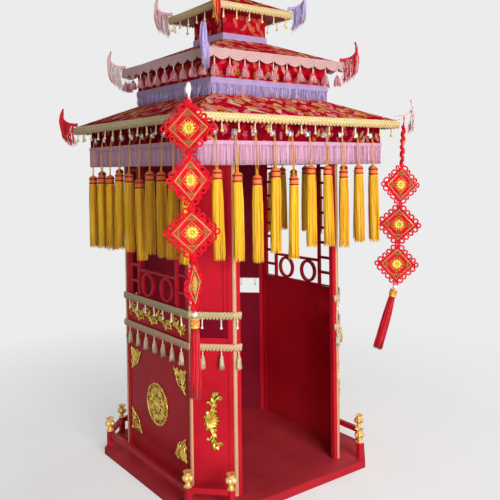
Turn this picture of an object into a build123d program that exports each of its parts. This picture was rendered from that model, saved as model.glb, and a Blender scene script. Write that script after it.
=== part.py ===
import os
from math import atan, cos, degrees, pi, radians, sin, sqrt

from build123d import *

# A wedding palanquin: an eight-sided cabin on a low railed deck, under three stepped canopies.
# Millimetres. +Z is up, the deck's underside is at Z = 0, the doorway faces -Y.
# Every side is square in plan, and the deck and the cabin have cut corners.
os.makedirs("parts", exist_ok=True)

# Deck, guard rail and its vases
deck_half = 572.0
deck_leg = 155.0
deck_height = 40.0
deck_bevel = 4.0
rail_inset = 14.0
post_width = 28.0
post_height = 85.0
rail_height = 26.0
rail_width = 20.0
vase_height = 70.0
vase_width = 49.0

# Cabin
cabin_half = 474.0
cabin_leg = 149.0
wall = 24.0
board = 14.0
post_face = 32.0
sill_z = 878.0
back_board_top = 1690.0
mid_opening_bottom = 767.0
mid_opening_top = 862.0
head_rail_height = 46.0
soffit_z = 1752.0
ceiling_thickness = 12.0

# Window lattice
lattice_bar = 14.0
lattice_depth = 16.0
ladder_width = 108.0
rung_pitch = 83.0
ring_outer = 62.0
ring_inner = 49.0
ring_spacing = 192.0
ring_bar_z = 1024.0

# Braids, trims and the relief work on the cabin
trim_width = 8.5
trim_thickness = 4.0
braid_thickness = 6.0
upper_braid_z = 862.0
upper_braid_height = 27.0
lower_braid_z = 716.0
lower_braid_height = 26.0
relief = 7.0
scroll_width = 9.0
medallion_radius = 109.0
medallion_z = 366.0
ornament_bottom = 150.0
ornament_top = 612.0
ornament_margin = 1.0
corner_scroll_leg = 136.0
swirl_z = 384.0
swirl_height = 282.0
braid_tassel_length = 90.0
braid_tassel_radius = 11.0
braid_tassel_pitch = 88.0

# Valance, its fringe and long tassels
valance_half = 562.0
valance_board = 10.0
valance_lap = 20.0
fringe_thickness = 5.0
fringe_top_below = 84.0
fringe_height = 108.0
crystal_size = 30.0
crystal_depth = 12.0
crystal_below = 46.0
cord_width = 4.0
cord_spread = 9.0
long_tassel_count = 10
long_tassel_pitch = 108.0
long_tassel_length = 392.0
long_tassel_radius = 24.0
long_tassel_head = 62.0

# Canopies: eaves, hip roofs and neck boxes
eave_thickness = 30.0
eave_braid_height = 37.0
eave_braid_thickness = 7.0
lower_eave_overhang = 62.0
lower_roof_rise = 108.0
mid_neck_half = 364.0
mid_soffit_z = 2062.0
mid_eave_half = 423.0
mid_roof_rise = 116.0
top_neck_half = 137.0
top_soffit_z = 2343.0
top_eave_half = 231.0
top_roof_rise = 96.0
top_roof_flat = 30.0
purple_fringe_height = 84.0
purple_band_height = 33.0
finial_height = 128.0

# Horns and the fringe under each
horn_radius = 12.0
horn_reach = 70.0
horn_rise = 92.0
horn_fringe_drop = 115.0
horn_fringe_thickness = 28.0

# Charms: four diamonds on a cord, over a pearl, a bead and a tassel
knot_half = 102.0
knot_thickness = 9.0
knot_panel = 5.0
knot_rim = 18.0
knot_pitch = 208.0
charm_drop = 36.0
charm_cord_radius = 2.5
pearl_radius = 13.0
bead_radius = 17.0
bead_height = 40.0
charm_tassel_length = 285.0
charm_tassel_radius = 18.0

# Clearance between a piece that stands between two others and its neighbours
fit = 0.3

floor_z = deck_height
lower_eave_half = valance_half + lower_eave_overhang
fringe_top = soffit_z - fringe_top_below
fringe_bottom = fringe_top - fringe_height
crystal_z = soffit_z - crystal_below
ornament_half = cabin_half - cabin_leg - post_face - ornament_margin
chamfer_distance = (2 * cabin_half - cabin_leg) / sqrt(2)
straight_width = 2 * (cabin_half - cabin_leg)
chamfer_width = cabin_leg * sqrt(2)


def chamfered_square(half, leg, mode=Mode.ADD):
    """Plan of the deck and of the cabin: a square with its corners cut by leg."""
    s = half - leg
    points = [(half, -s), (half, s), (s, half), (-s, half), (-half, s), (-half, -s), (-s, -half), (s, -half)]
    return Polygon(*points, align=None, mode=mode)


def inner_leg(leg, thickness):
    """Corner cut of the same plan, moved in by a wall of even thickness."""
    return leg - thickness * (2 - sqrt(2))


def arc_band(centre, radius, width, start, sweep, steps):
    """Flat band along an arc, in straight facets."""
    x, y = centre
    angles = [radians(start + sweep * i / steps) for i in range(steps + 1)]
    outer = [(x + (radius + width / 2) * cos(a), y + (radius + width / 2) * sin(a)) for a in angles]
    inner = [(x + (radius - width / 2) * cos(a), y + (radius - width / 2) * sin(a)) for a in angles]
    return Polygon(*outer, *reversed(inner), align=None)


def ring(radius, width, sides):
    """Flat ring in straight facets, width measured inward."""
    RegularPolygon(radius, sides)
    RegularPolygon(radius - width, sides, mode=Mode.SUBTRACT)


def tapered(sides, radius, end_radius, start, length):
    """Straight-sided taper of a regular polygon, upward from Z = start; it is drawn from its wider end."""
    if radius >= end_radius:
        wide_end = Plane.XY.offset(start)
    else:
        wide_end = Plane(origin=(0, 0, start + length), x_dir=(1, 0, 0), z_dir=(0, 0, -1))
    with BuildSketch(wide_end) as outline:
        RegularPolygon(max(radius, end_radius), sides)
    lean = degrees(atan(abs(radius - end_radius) * cos(pi / sides) / length))
    extrude(outline.sketch, amount=length, taper=lean)


def turned(stations, sides, width, height, start=0.0):
    """Turned form in flat facets. Station: radius as a share of width, height as a share of height."""
    for (r0, h0), (r1, h1) in zip(stations, stations[1:]):
        tapered(sides, r0 * width, r1 * width, start + h0 * height, (h1 - h0) * height)


def wall_plane(turn, distance):
    """Outer face of the wall that faces turn degrees from +X: x runs along it, y is up."""
    outward = Vector(1, 0, 0).rotate(Axis.Z, turn)
    along = Vector(0, 1, 0).rotate(Axis.Z, turn)
    return Plane(origin=outward * distance, x_dir=along, z_dir=outward)


def tier_points(half, count, pitch, z=0.0):
    """Points on the four sides of a square canopy, with the turn of each side."""
    rows = []
    for turn in (-90, 0, 90, 180):
        for i in range(count):
            rows.append((turn, (i - (count - 1) / 2) * pitch, half, z))
    return rows


def placed(turn, along, distance, z):
    """Location on a wall: local x outward, local y along the wall, local z up."""
    return Location((0, 0, 0), (0, 0, turn)) * Location((distance, along, z))


# Walls of the cabin: turn, distance from the axis, width between its vertices
sides = [(180, cabin_half, straight_width), (0, cabin_half, straight_width)]
back = (90, cabin_half, straight_width)
corners = [(turn, chamfer_distance, chamfer_width) for turn in (-135, -45, 45, 135)]

# Deck
with BuildPart() as deck:
    with BuildSketch():
        chamfered_square(deck_half, deck_leg)
    extrude(amount=deck_height)
    chamfer(deck.faces().sort_by(Axis.Z)[-1].edges(), length=deck_bevel)
deck.part.label = "deck"

# Guard rail: eight posts at the deck's vertices and seven rails, none across the doorway
rail_half = deck_half - rail_inset - post_width / 2
rail_leg = inner_leg(deck_leg, rail_inset + post_width / 2)
rail_s = rail_half - rail_leg
post_places = [
    (rail_half, -rail_s), (rail_half, rail_s), (rail_s, rail_half), (-rail_s, rail_half),
    (-rail_half, rail_s), (-rail_half, -rail_s), (-rail_s, -rail_half), (rail_s, -rail_half),
]
with BuildPart() as rail_posts:
    with BuildSketch(Plane.XY.offset(floor_z)):
        with Locations(*post_places):
            Rectangle(post_width, post_width)
    extrude(amount=post_height)
    chamfer(rail_posts.edges().filter_by(Axis.Z), length=post_width / 9)
rail_posts.part.label = "rail_posts"

rail_z = floor_z + post_height - rail_height
with BuildPart() as guard_rails:
    with BuildSketch(Plane.XY.offset(rail_z)):
        with PolarLocations(rail_half, 3, start_angle=0, angular_range=270):
            Rectangle(rail_width, 2 * rail_s)
        with PolarLocations((rail_half * 2 - rail_leg) / sqrt(2), 4, start_angle=45):
            Rectangle(rail_width, rail_leg * sqrt(2))
        with Locations(*post_places):
            Rectangle(post_width + 2 * fit, post_width + 2 * fit, mode=Mode.SUBTRACT)
    extrude(amount=rail_height)
guard_rails.part.label = "guard_rails"

# Vases on the posts, faceted like small castings
vase_stations = [(0.42, 0.0), (0.42, 0.06), (0.2, 0.16), (0.22, 0.24), (0.5, 0.46), (0.5, 0.62), (0.24, 0.82),
                 (0.4, 1.0)]
with BuildPart() as vase_form:
    turned(vase_stations, 8, vase_width, vase_height)
with BuildPart() as post_vases:
    with Locations(*[(x, y, floor_z + post_height) for x, y in post_places]):
        add(vase_form.part)
post_vases.part.label = "post_vases"

# Cabin posts: the wall ring between soffit and deck, cut away between the vertices
with BuildPart() as cabin_posts:
    with BuildSketch(Plane.XY.offset(floor_z)):
        chamfered_square(cabin_half, cabin_leg)
        chamfered_square(cabin_half - wall, inner_leg(cabin_leg, wall), mode=Mode.SUBTRACT)
        with PolarLocations(cabin_half, 4):
            Rectangle(4 * wall, straight_width - 2 * post_face, mode=Mode.SUBTRACT)
        with PolarLocations(chamfer_distance, 4, start_angle=45):
            Rectangle(4 * wall, chamfer_width - 2 * post_face, mode=Mode.SUBTRACT)
    extrude(amount=soffit_z - floor_z)
cabin_posts.part.label = "cabin_posts"


def wall_board(turn, distance, width, bottom, top, thickness=board, recess=5.0):
    """Board between two posts, set back from their faces by recess, down to the deck."""
    with BuildSketch(wall_plane(turn, distance - recess)) as outline:
        with Locations((0, (bottom + top) / 2)):
            Rectangle(width - 2 * post_face - 2 * fit, top - bottom)
    extrude(outline.sketch, amount=-thickness)


# Boards of the left and right sides, up to the window sill, each with its sill rail
side_panels = {}
for name, (turn, distance, width) in zip(("left", "right"), sides):
    with BuildPart() as side_panel:
        wall_board(turn, distance, width, floor_z, sill_z)
        with BuildSketch(wall_plane(turn, distance)):
            with Locations((0, sill_z - 10)):
                Rectangle(width - 2 * post_face - 2 * fit, 20)
        extrude(amount=-wall)
    side_panel.part.label = "side_panel_" + name
    side_panels[name] = side_panel

# Back wall: one board to the head rail
with BuildPart() as back_wall:
    wall_board(*back, floor_z, back_board_top)
back_wall.part.label = "back_wall"

# Corner boards: lower ones end under the see-through opening, upper ones have a raised frame
with BuildPart() as corner_boards:
    for turn, distance, width in corners:
        wall_board(turn, distance, width, floor_z, mid_opening_bottom)
corner_boards.part.label = "corner_boards"

frame_stile = 20.0
with BuildPart() as corner_upper_boards:
    for turn, distance, width in corners:
        wall_board(turn, distance, width, mid_opening_top, back_board_top, recess=9.0)
        inner = width - 2 * post_face - 2 * fit
        height = back_board_top - mid_opening_top
        with BuildSketch(wall_plane(turn, distance - 9.0)):
            with Locations((0, mid_opening_top + height / 2)):
                Rectangle(inner, height)
                Rectangle(inner - 2 * frame_stile, height - 2 * frame_stile, mode=Mode.SUBTRACT)
        extrude(amount=5.0)
corner_upper_boards.part.label = "corner_upper_boards"

# Head rails between the posts, one of them the door's lintel, and the ceiling board above
head_z = back_board_top
head_walls = [(t, cabin_half, straight_width) for t in (-90, 0, 90, 180)] + corners
with BuildPart() as head_rails:
    for turn, distance, width in head_walls:
        with BuildSketch(wall_plane(turn, distance)):
            with Locations((0, head_z + head_rail_height / 2)):
                Rectangle(width - 2 * post_face - 2 * fit, head_rail_height)
        extrude(amount=-wall)
head_rails.part.label = "head_rails"

with BuildPart() as ceiling_board:
    with BuildSketch(Plane.XY.offset(head_z + head_rail_height - ceiling_thickness)):
        chamfered_square(cabin_half - wall - fit, inner_leg(cabin_leg, wall + fit))
    extrude(amount=ceiling_thickness)
ceiling_board.part.label = "ceiling_board"

# Window lattice: a ladder of square cells at each end, two rings under a bar in the middle
window_half = straight_width / 2 - post_face
lattice_top = head_z
lattice_face = cabin_half - (wall - lattice_depth) / 2
rung_count = int((lattice_top - sill_z) / rung_pitch)
ladder_centre = window_half - ladder_width / 2 - fit
muntin_inner = window_half - ladder_width - fit
window_ladders = {}
window_rings = {}
for name, (turn, distance, width) in zip(("left", "right"), sides):
    with BuildPart() as ladders:
        with BuildSketch(wall_plane(turn, lattice_face)):
            with Locations((-ladder_centre, (sill_z + lattice_top) / 2), (ladder_centre, (sill_z + lattice_top) / 2)):
                Rectangle(ladder_width, lattice_top - sill_z)
                Rectangle(ladder_width - 2 * lattice_bar, lattice_top - sill_z - lattice_bar, mode=Mode.SUBTRACT)
            for i in range(1, rung_count):
                with Locations((-ladder_centre, sill_z + i * rung_pitch), (ladder_centre, sill_z + i * rung_pitch)):
                    Rectangle(ladder_width - lattice_bar, lattice_bar)
        extrude(amount=-lattice_depth)
    ladders.part.label = "window_ladders_" + name
    window_ladders[name] = ladders

    with BuildPart() as rings:
        with BuildSketch(wall_plane(turn, lattice_face)):
            with Locations((0, ring_bar_z)):
                Rectangle(2 * (muntin_inner - fit), lattice_bar)
            with Locations((0, sill_z + lattice_bar / 2)):
                Rectangle(2 * (muntin_inner - fit), lattice_bar)
            ring_z = (sill_z + ring_bar_z) / 2 + lattice_bar / 4
            with Locations((-ring_spacing / 2, ring_z), (ring_spacing / 2, ring_z)):
                RegularPolygon(ring_outer + 1, 24)
                RegularPolygon(ring_inner, 24, mode=Mode.SUBTRACT)
        extrude(amount=-lattice_depth)
    rings.part.label = "window_rings_" + name
    window_rings[name] = rings

# Cream trims: a strip on each side of every vertex, from the deck to the head rail
with BuildPart() as corner_trims:
    with BuildSketch(Plane.XY.offset(floor_z)):
        chamfered_square(cabin_half + trim_thickness, inner_leg(cabin_leg, -trim_thickness))
        chamfered_square(cabin_half, cabin_leg, mode=Mode.SUBTRACT)
        with PolarLocations(cabin_half, 4):
            Rectangle(4 * wall, straight_width - 2 * trim_width, mode=Mode.SUBTRACT)
        with PolarLocations(chamfer_distance, 4, start_angle=45):
            Rectangle(4 * wall, chamfer_width - 2 * trim_width, mode=Mode.SUBTRACT)
    extrude(amount=head_z - floor_z)
corner_trims.part.label = "corner_trims"


def cabin_braid(bottom, height):
    """Band over the trims round seven walls: it ends on the door posts."""
    inset = trim_thickness
    with BuildSketch(Plane.XY.offset(bottom)) as band:
        chamfered_square(cabin_half + inset + braid_thickness, inner_leg(cabin_leg, -inset - braid_thickness))
        chamfered_square(cabin_half + inset, inner_leg(cabin_leg, -inset), mode=Mode.SUBTRACT)
        with Locations((0, -cabin_half)):
            Rectangle(straight_width - 2 * post_face, 4 * wall, mode=Mode.SUBTRACT)
    extrude(band.sketch, amount=height)


with BuildPart() as upper_braid:
    cabin_braid(upper_braid_z, upper_braid_height)
upper_braid.part.label = "upper_braid"

with BuildPart() as lower_braid:
    cabin_braid(lower_braid_z, lower_braid_height)
lower_braid.part.label = "lower_braid"

# Small tassels under the lower braid
with BuildPart() as braid_tassel_form:
    tapered(6, braid_tassel_radius, braid_tassel_radius * 0.4, 0, braid_tassel_length)
tassel_offset = trim_thickness + braid_thickness / 2
braid_tassel_walls = [(180, cabin_half, 7), (0, cabin_half, 7), (90, cabin_half, 7)] + [
    (turn, chamfer_distance, 2) for turn in (-135, -45, 45, 135)
]
braid_tassel_places = []
for turn, distance, count in braid_tassel_walls:
    for i in range(count):
        along = (i - (count - 1) / 2) * braid_tassel_pitch
        z = lower_braid_z - braid_tassel_length
        braid_tassel_places.append(placed(turn, along, distance + tassel_offset, z))
with BuildPart() as braid_tassels:
    with Locations(*braid_tassel_places):
        add(braid_tassel_form.part)
braid_tassels.part.label = "braid_tassels"

# Round openwork medallion: two rings, eight C-scrolls between them and a flower
relief_walls = [(180, cabin_half - 5.0), (0, cabin_half - 5.0), (90, cabin_half - 5.0)]
inner_ring = medallion_radius * 0.52
petal_reach = medallion_radius * 0.3
scroll_middle = (medallion_radius + inner_ring) / 2 - scroll_width / 4
scroll_radius = (medallion_radius - inner_ring) / 2
with BuildPart() as medallions:
    for turn, distance in relief_walls:
        plane = wall_plane(turn, distance)
        with BuildSketch(plane):
            with Locations((0, medallion_z)):
                ring(medallion_radius, scroll_width, 28)
        with BuildSketch(plane):
            with Locations((0, medallion_z)):
                ring(inner_ring, scroll_width, 16)
        with BuildSketch(plane):
            with Locations((0, medallion_z)):
                with PolarLocations(scroll_middle, 8):
                    Rectangle(2 * scroll_radius, scroll_width)
                with PolarLocations(petal_reach * 0.9, 6):
                    arc_band((0, 0), petal_reach * 0.45, petal_reach * 0.9, 0, 360, 6)
                RegularPolygon(petal_reach * 0.5, 6)
        extrude(amount=relief)
medallions.part.label = "medallions"

# Corner scrolls: an L of two stems with a curl at each end and a leaf in its elbow
curl = corner_scroll_leg * 0.13
stem_end = corner_scroll_leg - curl
elbow = corner_scroll_leg * 0.3
with BuildPart() as corner_scroll_form:
    with BuildSketch() as corner_scroll_sketch:
        for x, y, spin in ((curl, stem_end, -70), (stem_end, curl, -90)):
            arc_band((x, y), curl, scroll_width, spin, 250, 6)
        arc_band((elbow, elbow), elbow, scroll_width, 180, 90, 3)
        with Locations((0, (elbow + stem_end) / 2)):
            Rectangle(scroll_width, stem_end - elbow)
        with Locations(((elbow + stem_end) / 2, 0)):
            Rectangle(stem_end - elbow, scroll_width)
        with Locations((elbow * 0.42, elbow * 0.42)):
            RegularPolygon(elbow * 0.42, 6)
    extrude(amount=relief)
scroll_places = []
for turn, distance in relief_walls:
    plane = wall_plane(turn, distance)
    for x, y, spin in (
        (-ornament_half, ornament_bottom, 0),
        (ornament_half, ornament_bottom, 90),
        (ornament_half, ornament_top, 180),
        (-ornament_half, ornament_top, 270),
    ):
        inset_x = scroll_width / 2 if x < 0 else -scroll_width / 2
        inset_y = scroll_width / 2 if y == ornament_bottom else -scroll_width / 2
        scroll_places.append(plane.location * Location((x + inset_x, y + inset_y, 0), (0, 0, spin)))
with BuildPart() as corner_scrolls:
    with Locations(*scroll_places):
        add(corner_scroll_form.part)
corner_scrolls.part.label = "corner_scrolls"

# Tall S-scrolls on the corner boards: two bows with a curl at each end, a shell and two leaves
bow = swirl_height / 4
swirl_curl = swirl_height * 0.075
with BuildPart() as swirl_form:
    with BuildSketch():
        arc_band((0, bow), bow, scroll_width, -90, 180, 8)
        arc_band((0, -bow), bow, scroll_width, 90, 180, 8)
        arc_band((0, 2 * bow - swirl_curl), swirl_curl, scroll_width, 90, 250, 7)
        arc_band((0, -2 * bow + swirl_curl), swirl_curl, scroll_width, -90, 250, 7)
        for x, y, spin in ((-bow * 0.62, -bow, 100), (bow * 0.62, bow, -80)):
            with Locations((x, y)):
                arc_band((0, 0), bow * 0.3, bow * 0.5, spin, 300, 6)
        RegularPolygon(bow * 0.3, 5)
    extrude(amount=relief * 1.6)
    scale(by=(0.68, 1, 1))
with BuildPart() as swirl_ornaments:
    with Locations(*[
        wall_plane(turn, distance - 5.0).location * Location((0, swirl_z, 0)) for turn, distance, width in corners
    ]):
        add(swirl_form.part)
swirl_ornaments.part.label = "swirl_ornaments"

# Friezes between the two braids: a running scroll of half rings on each side and the back
frieze_z = (lower_braid_z + lower_braid_height + upper_braid_z) / 2
frieze_waves = 8
frieze_half = ornament_half - scroll_width
wave = 2 * frieze_half / frieze_waves
with BuildPart() as friezes:
    for turn, distance in relief_walls:
        with BuildSketch(wall_plane(turn, distance)):
            for i in range(frieze_waves):
                x = -frieze_half + (i + 0.5) * wave
                arc_band((x, frieze_z), wave / 2, scroll_width, 180, 180 if i % 2 else -180, 5)
            with Locations(*[(-frieze_half + (i + 0.5) * wave, frieze_z) for i in range(frieze_waves)]):
                RegularPolygon(wave * 0.26, 6)
        extrude(amount=relief)
friezes.part.label = "friezes"

# Valance boards under the lower eave, and the pink fringe over their lower edges
valance_bottom = fringe_bottom + valance_lap
valance_length = 2 * valance_half
with BuildPart() as valance_boards:
    with BuildSketch(Plane.XY.offset(valance_bottom)):
        with Locations((0, valance_half - valance_board / 2), (0, -valance_half + valance_board / 2)):
            Rectangle(valance_length, valance_board)
        with Locations((valance_half - valance_board / 2, 0), (-valance_half + valance_board / 2, 0)):
            Rectangle(valance_board, valance_length - 2 * (valance_board + fit))
    extrude(amount=soffit_z - valance_bottom)
valance_boards.part.label = "valance_boards"


def square_band(half, thickness, bottom, height):
    """Band round the outside of a square box."""
    with BuildSketch(Plane.XY.offset(bottom)) as band:
        Rectangle(2 * (half + thickness), 2 * (half + thickness))
        Rectangle(2 * half, 2 * half, mode=Mode.SUBTRACT)
    extrude(band.sketch, amount=height)


with BuildPart() as pink_fringe:
    square_band(valance_half, fringe_thickness, fringe_bottom, fringe_top - fringe_bottom)
pink_fringe.part.label = "pink_fringe"

# Crystals on the valance, the doubled cords below them and the long tassels
crystal_rows = tier_points(valance_half, long_tassel_count, long_tassel_pitch, crystal_z)
with BuildPart() as crystal_form:
    with BuildSketch(Plane.YZ):
        Rectangle(crystal_size, crystal_size)
    extrude(amount=crystal_depth * 0.5)
    with BuildSketch(Plane.YZ.offset(crystal_depth * 0.5)):
        Rectangle(crystal_size, crystal_size)
    extrude(amount=crystal_depth * 0.5, taper=35)
with BuildPart() as valance_crystals:
    with Locations(*[placed(*row) for row in crystal_rows]):
        add(crystal_form.part)
valance_crystals.part.label = "valance_crystals"

# How far each tassel of a side hangs below its neighbours: front, right, back, left
hang_rows = {
    "front": (12, 26, 42, 10, 48, 0, 4, 20, 2, 8),
    "right": (6, 18, 0, 30, 12, 4, 22, 10, 34, 8),
    "back": (10, 0, 24, 14, 6, 28, 2, 16, 8, 20),
    "left": (20, 24, 20, 22, 58, 24, 26, 50, 38, 56),
}
side_turns = {"front": -90, "right": 0, "back": 90, "left": 180}
head_top = fringe_bottom - 3.0
cord_depth = fringe_thickness + cord_width / 2
cord_top = crystal_z - crystal_size / 2
with BuildPart() as tassel_cords:
    for name, turn in side_turns.items():
        for i, drop in enumerate(hang_rows[name]):
            length = cord_top - (head_top - drop)
            along = (i - (long_tassel_count - 1) / 2) * long_tassel_pitch
            z = cord_top - length / 2
            with Locations(
                placed(turn, along - cord_spread / 2, valance_half + cord_depth, z),
                placed(turn, along + cord_spread / 2, valance_half + cord_depth, z),
            ):
                Box(cord_width, cord_width, length)
tassel_cords.part.label = "tassel_cords"

with BuildPart() as long_tassel_form:
    skirt_length = long_tassel_length - long_tassel_head
    tapered(8, long_tassel_radius, long_tassel_radius * 0.72, -long_tassel_length, skirt_length)
    tapered(8, long_tassel_radius * 0.72, long_tassel_radius * 0.5, -long_tassel_head, long_tassel_head)
long_tassels = {}
for name, turn in side_turns.items():
    places = []
    for i, drop in enumerate(hang_rows[name]):
        along = (i - (long_tassel_count - 1) / 2) * long_tassel_pitch
        places.append(placed(turn, along, valance_half + cord_depth, head_top - drop))
    with BuildPart() as tassels:
        with Locations(*places):
            add(long_tassel_form.part)
    tassels.part.label = "long_tassels_" + name
    long_tassels[name] = tassels


def hip_roof(soffit, eave_half, neck_half, rise):
    """Eave slab and the four slopes that rise from it to the neck."""
    with BuildSketch(Plane.XY.offset(soffit)) as slab:
        Rectangle(2 * eave_half, 2 * eave_half)
    extrude(slab.sketch, amount=eave_thickness)
    with BuildSketch(Plane.XY.offset(soffit + eave_thickness)) as slope_foot:
        Rectangle(2 * eave_half, 2 * eave_half)
    extrude(slope_foot.sketch, amount=rise, taper=degrees(atan((eave_half - neck_half) / rise)))


with BuildPart() as lower_roof:
    hip_roof(soffit_z, lower_eave_half, mid_neck_half, lower_roof_rise)
lower_roof.part.label = "lower_roof"
lower_neck_z = soffit_z + eave_thickness + lower_roof_rise

with BuildPart() as mid_neck_box:
    with BuildSketch(Plane.XY.offset(lower_neck_z)):
        Rectangle(2 * mid_neck_half, 2 * mid_neck_half)
    extrude(amount=mid_soffit_z - lower_neck_z)
mid_neck_box.part.label = "mid_neck_box"

with BuildPart() as purple_fringe:
    square_band(mid_neck_half, fringe_thickness, lower_neck_z, purple_fringe_height)
purple_fringe.part.label = "purple_fringe"

with BuildPart() as mid_roof:
    hip_roof(mid_soffit_z, mid_eave_half, top_neck_half, mid_roof_rise)
mid_roof.part.label = "mid_roof"
mid_neck_z = mid_soffit_z + eave_thickness + mid_roof_rise

with BuildPart() as top_neck_box:
    with BuildSketch(Plane.XY.offset(mid_neck_z)):
        Rectangle(2 * top_neck_half, 2 * top_neck_half)
    extrude(amount=top_soffit_z - mid_neck_z)
top_neck_box.part.label = "top_neck_box"

with BuildPart() as purple_band:
    square_band(top_neck_half, fringe_thickness, mid_neck_z, purple_band_height)
purple_band.part.label = "purple_band"

with BuildPart() as top_roof:
    hip_roof(top_soffit_z, top_eave_half, top_roof_flat, top_roof_rise)
top_roof.part.label = "top_roof"
finial_z = top_soffit_z + eave_thickness + top_roof_rise

# Finial
finial_stations = [(0.2, 0.0), (0.2, 0.07), (0.09, 0.13), (0.26, 0.32), (0.26, 0.44), (0.1, 0.6), (0.15, 0.72),
                   (0.02, 1.0)]
with BuildPart() as finial:
    turned(finial_stations, 10, finial_height, finial_height, finial_z)
finial.part.label = "finial"

# Eave braids, and the beads or tassels under them: tier, eave half, soffit, count, pitch
tiers = {
    "lower": (lower_eave_half, soffit_z, 14, 89.0),
    "mid": (mid_eave_half, mid_soffit_z, 10, 86.0),
    "top": (top_eave_half, top_soffit_z, 6, 80.0),
}
# Drop of each tier: radius, length, sides
drop_sizes = {"lower": (6.5, 50.0, 4), "mid": (19.0, 86.0, 6), "top": (6.5, 50.0, 4)}
eave_braids = {}
eave_drops = {}
for tier, (half, soffit, count, pitch) in tiers.items():
    with BuildPart() as braid:
        square_band(half, eave_braid_thickness, soffit, eave_braid_height)
    braid.part.label = tier + "_eave_braid"
    eave_braids[tier] = braid

    radius, length, sides = drop_sizes[tier]
    with BuildPart() as drop_form:
        tapered(sides, radius, radius * 0.35, -length, length)
    with BuildPart() as drops:
        with Locations(*[placed(*row) for row in tier_points(half + eave_braid_thickness / 2, count, pitch, soffit)]):
            add(drop_form.part)
    drops.part.label = tier + "_eave_drops"
    eave_drops[tier] = drops

# Horns: a tapering stem that lies on the eave's corner, sweeps out and curls up
# Stations: reach and rise as shares of the horn, lean from upright in degrees, share of its radius
horn_stations = [(-0.3, 0.0, 90, 1.0), (0.0, 0.0, 90, 1.0), (0.6, 0.14, 60, 0.85), (1.0, 0.52, 10, 0.65),
                 (0.86, 1.0, -30, 0.35)]
with BuildPart() as horn_form:
    for reach, rise, lean, share in horn_stations:
        heading = Vector(0, 0, 1).rotate(Axis.Y, lean)
        station = Plane(origin=(reach * horn_reach, 0, rise * horn_rise), x_dir=(0, 1, 0), z_dir=heading)
        with BuildSketch(station):
            RegularPolygon(horn_radius * share, 6)
    loft(ruled=True)

horn_points = [(-0.3, 0.0), (0.0, 0.0), (0.6, 0.14), (1.0, 0.52), (9.0, 0.52)]


def horn_height(reach):
    """Height of the horn's centreline above its root at this reach."""
    for (r0, h0), (r1, h1) in zip(horn_points, horn_points[1:]):
        if reach <= r1 * horn_reach:
            return horn_rise * (h0 + (h1 - h0) * (reach / horn_reach - r0) / (r1 - r0))
    return horn_rise


# Horns of the four corners: turn in plan, then how far each tier's horn is bent from the diagonal,
# and where its fringe starts and ends along it
horn_turns = (-45, 45, 135, -135)
horn_bends = {"lower": (0, 0, 0, -4), "mid": (0, 0, 0, 0), "top": (0, 0, 0, 0)}
full_span = (6.0, 96.0)
fringe_spans = {
    "lower": ((38.0, 96.0), full_span, full_span, (6.0, 60.0)),
    "mid": (full_span, full_span, full_span, full_span),
    "top": (full_span, full_span, full_span, full_span),
}


def horn_root(half, soffit, turn, bend):
    """Location of a horn's root: on the corner of the eave braid, x along the horn."""
    corner = (half + eave_braid_thickness) * sqrt(2)
    z = soffit + eave_braid_height + horn_radius * sqrt(3) / 2
    return Location((0, 0, 0), (0, 0, turn)) * Location((corner, 0, z), (0, 0, bend))


horns = {}
horn_fringes = {}
for tier, (half, soffit, count, pitch) in tiers.items():
    roots = [horn_root(half, soffit, turn, bend) for turn, bend in zip(horn_turns, horn_bends[tier])]
    with BuildPart() as tier_horns:
        with Locations(*roots):
            add(horn_form.part)
    tier_horns.part.label = tier + "_horns"
    horns[tier] = tier_horns

    with BuildPart() as tier_fringes:
        for root, (near, far) in zip(roots, fringe_spans[tier]):
            bends_in = [r * horn_reach for r, h in horn_points if near < r * horn_reach < far]
            upper = [(r, horn_height(r)) for r in (near, *bends_in, far)]
            with BuildSketch(Plane(root * Location((0, 0, 0), (90, 0, 0)))):
                Polygon(*upper, (far, -horn_fringe_drop), (near, -horn_fringe_drop), align=None)
            extrude(amount=horn_fringe_thickness / 2, both=True)
        with Locations(*roots):
            add(horn_form.part, mode=Mode.SUBTRACT)
    tier_fringes.part.label = tier + "_horn_fringes"
    horn_fringes[tier] = tier_fringes

# Charms on the two front horns of the lower eave: four diamonds on a cord, then a pearl, a bead
# and a tassel. Each form hangs below the origin, and faces +X where it is flat.
with BuildPart() as knot_form:
    with BuildSketch(Plane.YZ):
        Rectangle(knot_half * sqrt(2), knot_half * sqrt(2), rotation=45)
    extrude(amount=knot_panel / 2, both=True)
    with BuildSketch(Plane.YZ):
        Rectangle(knot_half * sqrt(2), knot_half * sqrt(2), rotation=45)
        Rectangle(knot_half * sqrt(2) - 2 * knot_rim, knot_half * sqrt(2) - 2 * knot_rim, rotation=45,
                  mode=Mode.SUBTRACT)
    extrude(amount=knot_thickness / 2, both=True)

charm_cord = charm_drop + 4 * knot_pitch
with BuildPart() as charm_cord_form:
    with BuildSketch():
        RegularPolygon(charm_cord_radius, 6)
    extrude(amount=fit - charm_cord)
with BuildPart() as charm_tassel_form:
    turned([(0.3, -2.0), (0.9, -1.5), (0.9, -0.5), (0.1, 0.0)], 8, pearl_radius, pearl_radius)
    with BuildSketch(Plane.XY.offset(-2 * pearl_radius)) as bead_outline:
        RegularPolygon(bead_radius, 8)
    extrude(bead_outline.sketch, amount=-bead_height)
    tassel_z = -2 * pearl_radius - bead_height
    tapered(8, charm_tassel_radius, charm_tassel_radius * 0.6, tassel_z - charm_tassel_length, charm_tassel_length)

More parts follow.
